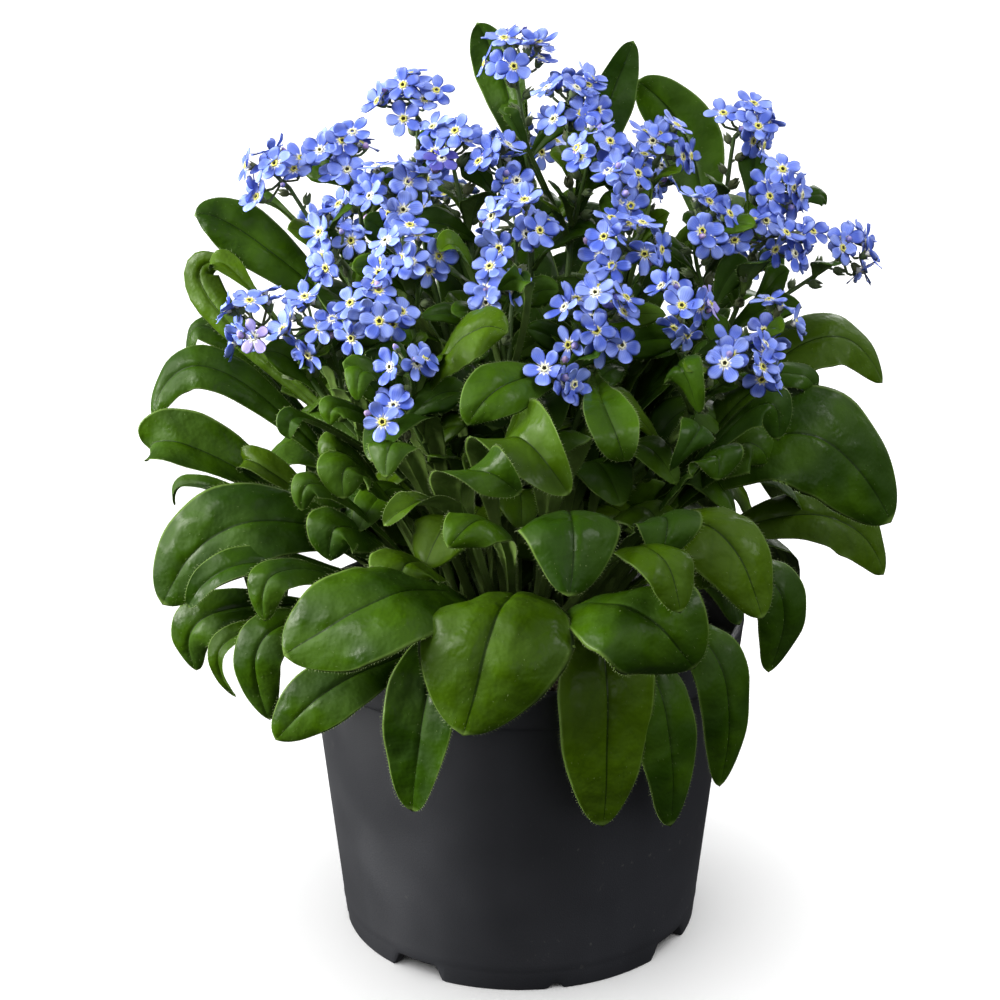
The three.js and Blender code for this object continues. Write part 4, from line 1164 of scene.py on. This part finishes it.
stems, stemHairs = newHeap(), newHeap()
stemLeafHeaps = {"front": newHeap(), "back": newHeap()}
allHeads, allStalks = [], []
leafNumber = 100


def addStemLeaf(heap, foot, leaf, neck, stalkWidth, detail):
    global leafNumber
    addLeaf(heap, stemHairs, foot, leaf, neck, stemForm["leafStalk"] * stalkWidth, leafNumber, detail)
    leafNumber += 1


def addSideStalk(heap, number, place, head, start):
    # A forking stalk from the stem to one more head, with small leaves on it
    _, facing, _, root, _ = headForm(head)
    end = stalkEnd(head)
    knee = end - facing * stemForm["kneeDrop"]
    knee = knee + (start - knee) * stemForm["kneeShare"]
    steps = stemForm["stalkSteps"]
    t = np.linspace(0, 1, steps + 1)[:, None]
    stalk = (1 - t) ** 2 * start + 2 * t * (1 - t) * knee + t ** 2 * end
    order = number * 3 + place
    addRod(stems, stemHairs, np.concatenate([stalk, [root]]), stemForm["endRadius"] * 1.25,
           stemForm["endRadius"], 40 + order)
    allStalks.append(stalk)
    for spot, share in enumerate(stemFoliage["stalkShares"]):
        foot = stalk[int(round(steps * share))]
        leaf = foliageLeaf(foot, stemFoliage["upperSize"], 20 + order, spot)
        addStemLeaf(heap, foot, leaf, stemForm["leafNeck"], 0.8, 0)


def addFloweringStem(number, foot, fork, heads, leaves):
    # A stem with its forking stalks, its own leaves and the small ones spread along it
    low = vector([*foot, stemForm["footHeight"]])
    crown = vector([*foot, stemForm["crownTop"]])
    fork = vector(fork)
    heap = stemLeafHeaps["front" if fork[1] < 3 else "back"]
    bend = crown + (fork - crown) * stemForm["bendShare"]
    bend[2] = crown[2] + (fork[2] - crown[2]) * (stemForm["bendShare"] + stemForm["bendRise"])
    steps = stemForm["pathSteps"]
    path = smoothPath([low, crown, bend, fork, stalkEnd(heads[0])], steps + 1)
    addRod(stems, stemHairs, np.concatenate([path, [headForm(heads[0])[3]]]), stemForm["footRadius"],
           stemForm["endRadius"], number, 0.4)
    allStalks.append(path)
    for place, head in enumerate(heads[1:]):
        addSideStalk(heap, number, place, head, path[int(steps * stemForm["forkShare"])])
    for share, *leaf in leaves:
        foot = path[int(round(steps * share))]
        narrow = leaf[6] < 9 and np.linalg.norm(foot - leaf[:3]) > 26  # a strap on a long stalk
        addStemLeaf(heap, foot, leaf, 0.42 if narrow else stemForm["leafNeck"], 1, 2 if leaf[6] > 11 else 1)
    for place, share in enumerate(stemFoliage["shares"]):
        foot = path[int(round(steps * share))]
        size = 1 + (stemFoliage["upperSize"] - 1) * smoothStep(0.45, 0.85, share)
        addStemLeaf(heap, foot, foliageLeaf(foot, size, number, place), stemForm["leafNeck"], 1, 0)
    allHeads.extend(heads)


for number, stem in enumerate(floweringStems):
    addFloweringStem(number, *stem)


def stemSkin():
    # Fresh green rods, a little browner low down, ribbed and dull
    material, tree, shader = newMaterial("stemSkin", 0.5, 0.4)
    tone = addNoise(tree, 120, 1)
    ribs = addNoise(tree, 900, 1, stretch=(1, 1, 0.12))
    colour = addMix(tree, tone, *stemForm["green"])
    low = addStep(tree, readShade(tree)[0], 0.45, 0.1, 0, 0.5)
    colour = addMix(tree, low, colour, stemForm["brownFoot"])
    colour = addMix(tree, addMath(tree, "MULTIPLY", ribs, 0.3), colour, stemForm["ribs"])
    setSkin(tree, shader, colour, addStep(tree, tone, 0.3, 0.7, 0.42, 0.6))
    addBump(tree, shader, ribs, 0.5, 0.0002)
    return material


stemNodes = [f"leafy_stem_{number + 1:02d}" for number in range(len(floweringStems))]
makePiece("flower_stems", stems, stemSkin(), stemNodes)
for name, heap in stemLeafHeaps.items():
    makePiece("stem_leaves_" + name, heap, stemLeafSurface, stemNodes)
makePiece("stem_hairs", stemHairs, hairSurface)
print("stems made")


# Flowers

flowerForm = {
    "radius": 4.95,
    "petalStart": 0.85,
    "petalHalfWidth": (1.45, 2.0),
    "petalThickness": 0.16,
    "widest": 0.6,  # share of the petal's way out
    "headCover": 1.2,
    "pedicelRadius": 0.36,
    "calyxHairs": 10,
    "buds": 2,
    "cupped": 0.3,  # share of the flowers that are half open
    "petalRows": (0, 0.16, 0.35, 0.53, 0.69, 0.83, 0.93, 0.98),
    "petalColumns": (-1, -0.56, 0, 0.56, 1),
    # more flowers between and behind the main ones, in front and in the far heads
    "more": (0.7, 2),
    "farFrom": 30,
    "wander": (0.75, 1.3),  # how unevenly the main and the other flowers face
    "backFrom": 12,  # where the heads of the back sectors begin
}

flowerColours = {
    "petals": ((0.070, 0.125, 0.58), (0.150, 0.230, 0.80)),
    "palePetals": (0.29, 0.39, 0.90),
    "deepPetals": (0.036, 0.065, 0.36),
    "paleClouds": (0.33, 0.43, 0.90),
    "deepClouds": (0.042, 0.075, 0.38),
    # painted highlight along the petals' rims
    "petalEdgeHighlight": (0.38, 0.47, 0.92),
    "pinkFlowers": (0.48, 0.34, 0.66),
    "violetFlowers": (0.08, 0.06, 0.34),
    "petalVeins": (0.04, 0.065, 0.38),
    "star": (0.86, 0.87, 0.90),
    "eyeRing": ((0.70, 0.66, 0.13), (0.85, 0.84, 0.62)),  # young and faded
    # near-black painted shade for the deep opening of the flower's tube
    "throat": (0.022, 0.018, 0.006),
    "eyeTube": (0.85, 0.86, 0.86),
    "eyeGrain": (0.45, 0.42, 0.1),
    "calyx": ((0.060, 0.095, 0.030), (0.130, 0.175, 0.075)),
    "brownCalyx": (0.09, 0.07, 0.04),
    "buds": ((0.16, 0.17, 0.52), (0.36, 0.22, 0.46)),
    "budTip": (0.66, 0.52, 0.72),
    "budFoot": (0.5, 0.55, 0.45),
    "budFolds": (0.16, 0.12, 0.5),
}


def addPetal(heap, turn, place, angle, width, lift, curl, tone, seed):
    # One rounded lobe as a thin closed body, narrow at its foot
    f = flowerForm
    rows, columns = vector(f["petalRows"]), vector(f["petalColumns"])
    reach = f["radius"] * (0.9 + 0.14 * jitter(seed, 20)) - f["petalStart"]
    u, v = rows[:, None], columns[None]
    c = f["widest"]
    notch = 0.05 * jitter(seed, 21)
    inner = 0.62 + (width - 0.62) * np.sin(math.pi / 2 * np.clip(u / c, 0, 1)) ** 1.15
    outer = width * np.sqrt(1 - np.clip((u - c) / (1 - c), 0, 1) ** (1.55 + 0.8 * jitter(seed, 19)))
    x = f["petalStart"] + reach * (u - notch * (1 - v ** 2) * smoothStep(0.6, 1, u))
    y = v * np.where(u < c, inner, outer) * (1 + 0.05 * math.sin(seed * 7.3))
    wave = 0.2 * np.sin(4 * u + 2.6 * v + 6 * jitter(seed, 22)) * u
    tipBend = (jitter(seed, 18) - 0.5) * smoothStep(0.55, 1, u)
    crease = 0.07 * np.exp(-(v / 0.22) ** 2) * (1 - u)
    z = 0.18 + lift * u ** 1.4 + curl * v ** 2 * u - crease + wave + tipBend
    upper = np.stack(np.broadcast_arrays(x, y, z), axis=-1)
    under = upper - [0, 0, f["petalThickness"]]
    rings = np.concatenate([upper, under[:, -2:0:-1]], axis=1)
    tip = vector([f["petalStart"] + reach * (1 - notch), 0, z[-1].mean() - 0.08])
    matrix = (turn @ spinAboutZ(angle)).T
    shade = np.zeros((*rings.shape[:2], 4))
    shade[:, :, 0] = u
    shade[:, :len(columns), 1] = 0.5 + 0.5 * columns
    shade[:, len(columns):, 1] = 0.5 + 0.5 * columns[-2:0:-1]
    shade[:, :, 2] = tone
    shade[:, :, 3] = jitter(seed, 23)
    addRings(heap, rings @ matrix + place, shade, rings[0].mean(0) @ matrix + place, tip @ matrix + place,
             flip=True)


def addEye(heap, turn, place, tone, seed):
    # Five-lobed raised ring round a shallow throat pit that is painted near-black as shade, on top of a short
    # tube
    angles = roundAngles(10)
    lobe = 1 + 0.12 * np.cos(5 * angles)
    outline = ((0.5, -1.7, 0.95), (0.98, 0.16, 0.7), (1.0, 0.34, 0.55), (0.8, 0.52, 0.5), (0.52, 0.44, 0.35),
               (0.36, -0.3, 0.05))
    rings = np.array([ringAt(radius * (lobe if height > 0 else 1), angles, height)
                      for radius, height, _ in outline])
    shade = np.array([np.tile([kind, 0, tone, jitter(seed, 24)], (len(angles), 1)) for _, _, kind in outline])
    addRings(heap, rings @ turn.T + place, shade,
             vector([0, 0, -1.9]) @ turn.T + place, vector([0, 0, -0.45]) @ turn.T + place)


def addCalyx(heap, hairs, turn, place, top, size, openness, seed):
    # Green cup with five pointed teeth
    angles = roundAngles(10)
    tooth = np.where(np.arange(len(angles)) % 2 == 0, 1.0, 0.0)
    closed = max(0.0, -openness)
    outline = ((0.7, -2.3), (1.0, -1.5),
               (1.05 + (0.1 + openness * 0.5) * tooth, -1.1 + 0.35 * tooth),
               (1.0 + (0.35 + openness) * tooth, -0.95 + (0.85 + 0.9 * closed) * tooth),
               (0.75 + (0.45 + openness) * tooth, -1.05 + (0.6 + 0.9 * closed) * tooth),
               (0.6, -1.6))
    local = np.array([ringAt(radius, angles, height) for radius, height in outline]) * size
    local[:, :, 2] += top
    base = vector([0, 0, top - 2.7 * size]) @ turn.T + place
    inner = vector([0, 0, top - 1.8 * size]) @ turn.T + place
    addRings(heap, local @ turn.T + place, (0.6, 0, 0, jitter(seed, 25)), base, inner)
    spots = jitterRows(seed * 31, flowerForm["calyxHairs"], (26, 27, 28))
    out = ringAt(1, spots[:, 0] * 2 * math.pi, 0)
    feet = out * 0.9 * size
    feet[:, 2] = top + size * (-2.5 + 1.7 * spots[:, 1])
    lengths = 0.45 + 0.45 * spots[:, 2]
    addHairs(hairs, feet @ turn.T + place, (out + [0, 0, 0.5]) @ turn.T, lengths, 0.035, (0.9, 0, 0, 0))
    return base


def addPedicel(heap, base, look, root, facing, seed):
    t = np.linspace(0, 1, 5)[:, None]
    first = base - look * 2.2
    second = root + facing * 1.2
    path = (1 - t) ** 3 * base + 3 * t * (1 - t) ** 2 * first + 3 * t ** 2 * (1 - t) * second + t ** 3 * root
    addTube(heap, path, flowerForm["pedicelRadius"], 4, (0.3, 0, 0, jitter(seed, 29)))


def addBud(place, look, root, facing, size, seed):
    # Closed bud: an egg of folded petals in its calyx
    turn = turnTo(look)
    angles = roundAngles(10)
    outline = ((0.5, -1.7, 0), (0.85, -1.1, 0.1), (0.95, -0.4, 0.35), (0.82, 0.3, 0.6), (0.5, 0.85, 0.85),
               (0.2, 1.08, 1))
    rings = np.array([ringAt(radius * (1 + 0.07 * np.cos(5 * angles + height)), angles, height)
                      for radius, height, _ in outline])
    shade = np.array([np.tile([kind, 0, jitter(seed, 30), 0], (len(angles), 1)) for _, _, kind in outline])
    addRings(buds, rings * size @ turn.T + place, shade, vector([0, 0, -1.8 * size]) @ turn.T + place,
             vector([0, 0, 1.12 * size]) @ turn.T + place)
    base = addCalyx(greens, greenHairs, turn, place, 0.15 * size, size * 0.95, 0.0, seed)
    addPedicel(greens, base, look, root, facing, seed)


def addSpentCalyces(stalk, seed):
    # Flowers that have dropped leave their calyces in two rows along the end of the stalk
    miles = pathMiles(stalk)
    for k in range(stemForm["spentCalyces"]):
        one = seed * 10 + k
        at = miles[-1] - 1.5 - stemForm["spentGap"] * (k + 0.5 * jitter(one, 34))
        if at < 2:
            break
        point = pointAt(stalk, miles, at)
        ahead = unit(pointAt(stalk, miles, at + 1) - point)
        beside = turnTo(ahead) @ vector([math.cos(k * math.pi + seed), math.sin(k * math.pi + seed), 0])
        look = unit(unit(beside + scatter(0.8, one, 35) * np.cross(ahead, beside)) * 0.9 + ahead * 0.7)
        size = 1.0 + 0.35 * jitter(one, 36)
        place = point + look * (2.7 * size + 1.4)
        base = addCalyx(greens, greenHairs, turnTo(look), place, 0, size, -0.8, one + 5000)
        addPedicel(greens, base, look, point, look, one)


def addFlower(petals, turn, place, seed):
    # Five petals round an eye, on a calyx whose foot it returns
    cupped = jitter(seed, 9) < flowerForm["cupped"]
    tone = jitter(seed, 10)
    low, high = flowerForm["petalHalfWidth"]
    width = low + (high - low) * jitter(seed, 11)
    for petal in range(5):
        one = seed * 5 + petal
        angle = petal * 2 * math.pi / 5 + scatter(0.16, one, 14)
        lift = (1.5 if cupped else 0.25) + 1.3 * (jitter(one, 12) - 0.45)
        curl = 0.9 * (jitter(one, 13) - 0.4)
        addPetal(petals, turn, place, angle, width * (0.9 + 0.2 * jitter(one, 15)), lift, curl, tone, one)
    addEye(eyes, turn, place, tone, seed)
    return addCalyx(greens, greenHairs, turn, place, -0.35, 1.0, 0.25, seed)


def addHead(index, head, petals):
    # A rounded bunch: the main flowers, more between and behind them, and a few buds
    centre, facing, half, root, coreRadius = headForm(head)
    flowers = head[5]
    far = head[1] > flowerForm["farFrom"]
    more = round(flowers * flowerForm["more"][far])
    axisEnd = centre + facing * half[2] * 0.35
    addTube(greens, [root - facing * coreRadius, root, (root + axisEnd) / 2, axisEnd],
            (0.7, 0.65, 0.5, 0.3), 7, (0.2, 0, 0, 0.3))
    for i in range(flowers + more):
        seed = index * 20 + i
        extra = i >= flowers
        count, at = (more, i - flowers) if extra else (flowers, i)
        tilt = math.acos(1 - flowerForm["headCover"] * (at + 0.5) / count)
        around = at * goldenAngle + index + (1.9 if extra else 0)
        ray = turnTo(facing) @ unit(vector([math.cos(around), math.sin(around), 1 / math.tan(tilt)]))
        outward = 1
        if extra:
            outward = 1.25 if far and i % 2 else 0.8
        place = ray * half * outward + centre
        wander = vector([jitter(seed, use) - 0.5 for use in (16, 17, 18)])
        look = unit(unit(unit(ray / half) + facing) + wander * flowerForm["wander"][extra])
        turn = turnTo(look) @ spinAboutZ(jitter(index, i) * math.pi)
        base = addFlower(petals, turn, place, seed)
        joint = root + (axisEnd - root) * max(0, 0.85 - tilt * 0.6)
        addPedicel(greens, base, look, joint, facing, seed)
    addSpentCalyces(allStalks[index], index)
    for i in range(flowerForm["buds"]):
        seed = 2000 + index * 10 + i
        tilt = 0.5 + 1.3 * jitter(seed, 31)
        around = (i + 0.5) * goldenAngle + index + 0.8
        ray = vector([math.sin(tilt) * math.cos(around), math.sin(tilt) * math.sin(around), math.cos(tilt)])
        ray = turnTo(facing) @ ray
        place = centre + ray * half * (0.75 + 0.3 * jitter(seed, 32))
        size = 0.65 + 0.4 * jitter(seed, 33)
        addBud(place, unit(ray + facing), (root + axisEnd) / 2, facing, size, seed)


sectorNames = ("front_left", "front_right", "back_right", "back_left")
petalHeaps = {name: newHeap() for name in sectorNames}
petalNodes = {name: [] for name in sectorNames}
eyes, greens, buds, greenHairs = newHeap(), newHeap(), newHeap(), newHeap()
for index, head in enumerate(allHeads):
    sector = "front_" if head[1] < flowerForm["backFrom"] else "back_"
    sector += "left" if head[0] < 0 else "right"
    petalNodes[sector].append(f"flowers_{index + 1:02d}")
    addHead(index, head, petalHeaps[sector])


def petalSkin():
    # Blue lobes with a painted highlight that makes them paler at their edges, with white rays at the foot.
    # Some flowers are paler or pinker.
    c = flowerColours
    material, tree, shader = newMaterial("petalSkin", 0.55, 0.25)
    out, across, tone, own = readShade(tree)
    grain = addNoise(tree, 900, 1, 0.6)
    cloud = addNoise(tree, 230, 1)
    colour = addMix(tree, addStep(tree, tone, 0.1, 0.9), *c["petals"])
    colour = addMix(tree, addStep(tree, own, 0.5, 1.0, 0, 0.6), colour, c["palePetals"])
    colour = addMix(tree, addStep(tree, own, 0.4, 0.0, 0, 0.6), colour, c["deepPetals"])
    colour = addMix(tree, addStep(tree, cloud, 0.45, 0.7, 0, 0.55), colour, c["paleClouds"])
    colour = addMix(tree, addStep(tree, cloud, 0.45, 0.25, 0, 0.5), colour, c["deepClouds"])
    # Paler rims: a painted highlight for the light caught by the cupped edges
    colour = addMix(tree, addStep(tree, out, 0.6, 1.0, 0, 0.5), colour, c["petalEdgeHighlight"])
    colour = addMix(tree, addStep(tree, tone, 0.987, 0.994, 0, 0.6), colour, c["pinkFlowers"])
    colour = addMix(tree, addStep(tree, tone, 0.03, 0.015, 0, 0.8), colour, c["violetFlowers"])
    # Veins fan out from the foot
    lines = addMath(tree, "PINGPONG", addMath(tree, "MULTIPLY", across, 7.0), 0.5)
    vein = addMath(tree, "MULTIPLY", addStep(tree, lines, 0.3, 0.5), addStep(tree, out, 1.0, 0.3, 0, 0.4))
    colour = addMix(tree, vein, colour, c["petalVeins"])
    rays = addMath(tree, "PINGPONG", addMath(tree, "MULTIPLY_ADD", across, 2.0, 0.5), 0.5)
    length = addMath(tree, "MULTIPLY", rays, addStep(tree, tone, 0.1, 0.9, 0.12, 0.38))
    star = addStep(tree, addMath(tree, "SUBTRACT", out, length), 0.12, -0.02)
    colour = addMix(tree, star, colour, c["star"])
    setSkin(tree, shader, colour, addStep(tree, grain, 0.3, 0.7, 0.48, 0.65))
    addBump(tree, shader, addMath(tree, "ADD", grain, addMath(tree, "MULTIPLY", lines, 0.8)), 0.3, 0.0002)
    return material


def eyeSkin():
    # Near-black painted shade in the throat pit, then a ring that is yellow in young flowers and fades to
    # white
    material, tree, shader = newMaterial("eyeSkin", 0.45, 0.4)
    kind, _, _, own = readShade(tree)
    grain = addNoise(tree, 2500, 0)
    ringColour = addMix(tree, addStep(tree, own, 0.55, 0.8), *flowerColours["eyeRing"])
    # The throat pit's near-black is painted shade
    colour = addMix(tree, addStep(tree, kind, 0.25, 0.42), flowerColours["throat"], ringColour)
    colour = addMix(tree, addStep(tree, kind, 0.56, 0.72), colour, flowerColours["eyeTube"])
    colour = addMix(tree, addMath(tree, "MULTIPLY", grain, 0.2), colour, flowerColours["eyeGrain"])
    setSkin(tree, shader, colour, addStep(tree, grain, 0.3, 0.7, 0.35, 0.55))
    addBump(tree, shader, grain, 0.3, 0.0001)
    return material


def calyxSkin():
    # Grey-green and softly hairy
    material, tree, shader = newMaterial("calyxSkin", 0.6, 0.3)
    own = readShade(tree)[3]
    tone = addNoise(tree, 450, 1)
    colour = addMix(tree, tone, *flowerColours["calyx"])
    colour = addMix(tree, addStep(tree, own, 0.6, 0.9, 0, 0.4), colour, flowerColours["brownCalyx"])
    setSkin(tree, shader, colour, addStep(tree, tone, 0.3, 0.7, 0.5, 0.7))
    shader.inputs["Sheen Weight"].default_value = 0.2
    shader.inputs["Sheen Roughness"].default_value = 0.4
    shader.inputs["Sheen Tint"].default_value = (0.8, 0.9, 0.7, 1)
    addBump(tree, shader, tone, 0.5, 0.0002)
    return material


def budSkin():
    # Folded petals, pink or violet, paler at the tip
    material, tree, shader = newMaterial("budSkin", 0.5, 0.35)
    kind, _, tone, _ = readShade(tree)
    folds = addNoise(tree, 700, 2, stretch=(1, 1, 0.3))
    colour = addMix(tree, addStep(tree, tone, 0.3, 0.7), *flowerColours["buds"])
    colour = addMix(tree, addStep(tree, kind, 0.4, 1.0, 0, 0.55), colour, flowerColours["budTip"])
    colour = addMix(tree, addStep(tree, kind, 0.3, 0.0, 0, 0.7), colour, flowerColours["budFoot"])
    colour = addMix(tree, addMath(tree, "MULTIPLY", folds, 0.3), colour, flowerColours["budFolds"])
    setSkin(tree, shader, colour, addStep(tree, folds, 0.3, 0.7, 0.42, 0.6))
    addBump(tree, shader, folds, 0.5, 0.0002)
    return material


petalSurface = petalSkin()
for name in sectorNames:
    makePiece("petals_" + name, petalHeaps[name], petalSurface, petalNodes[name])
makePiece("flower_eyes", eyes, eyeSkin())
makePiece("calyces_and_pedicels", greens, calyxSkin())
makePiece("flower_buds", buds, budSkin())
makePiece("calyx_hairs", greenHairs, hairSurface)
print("flowers made")
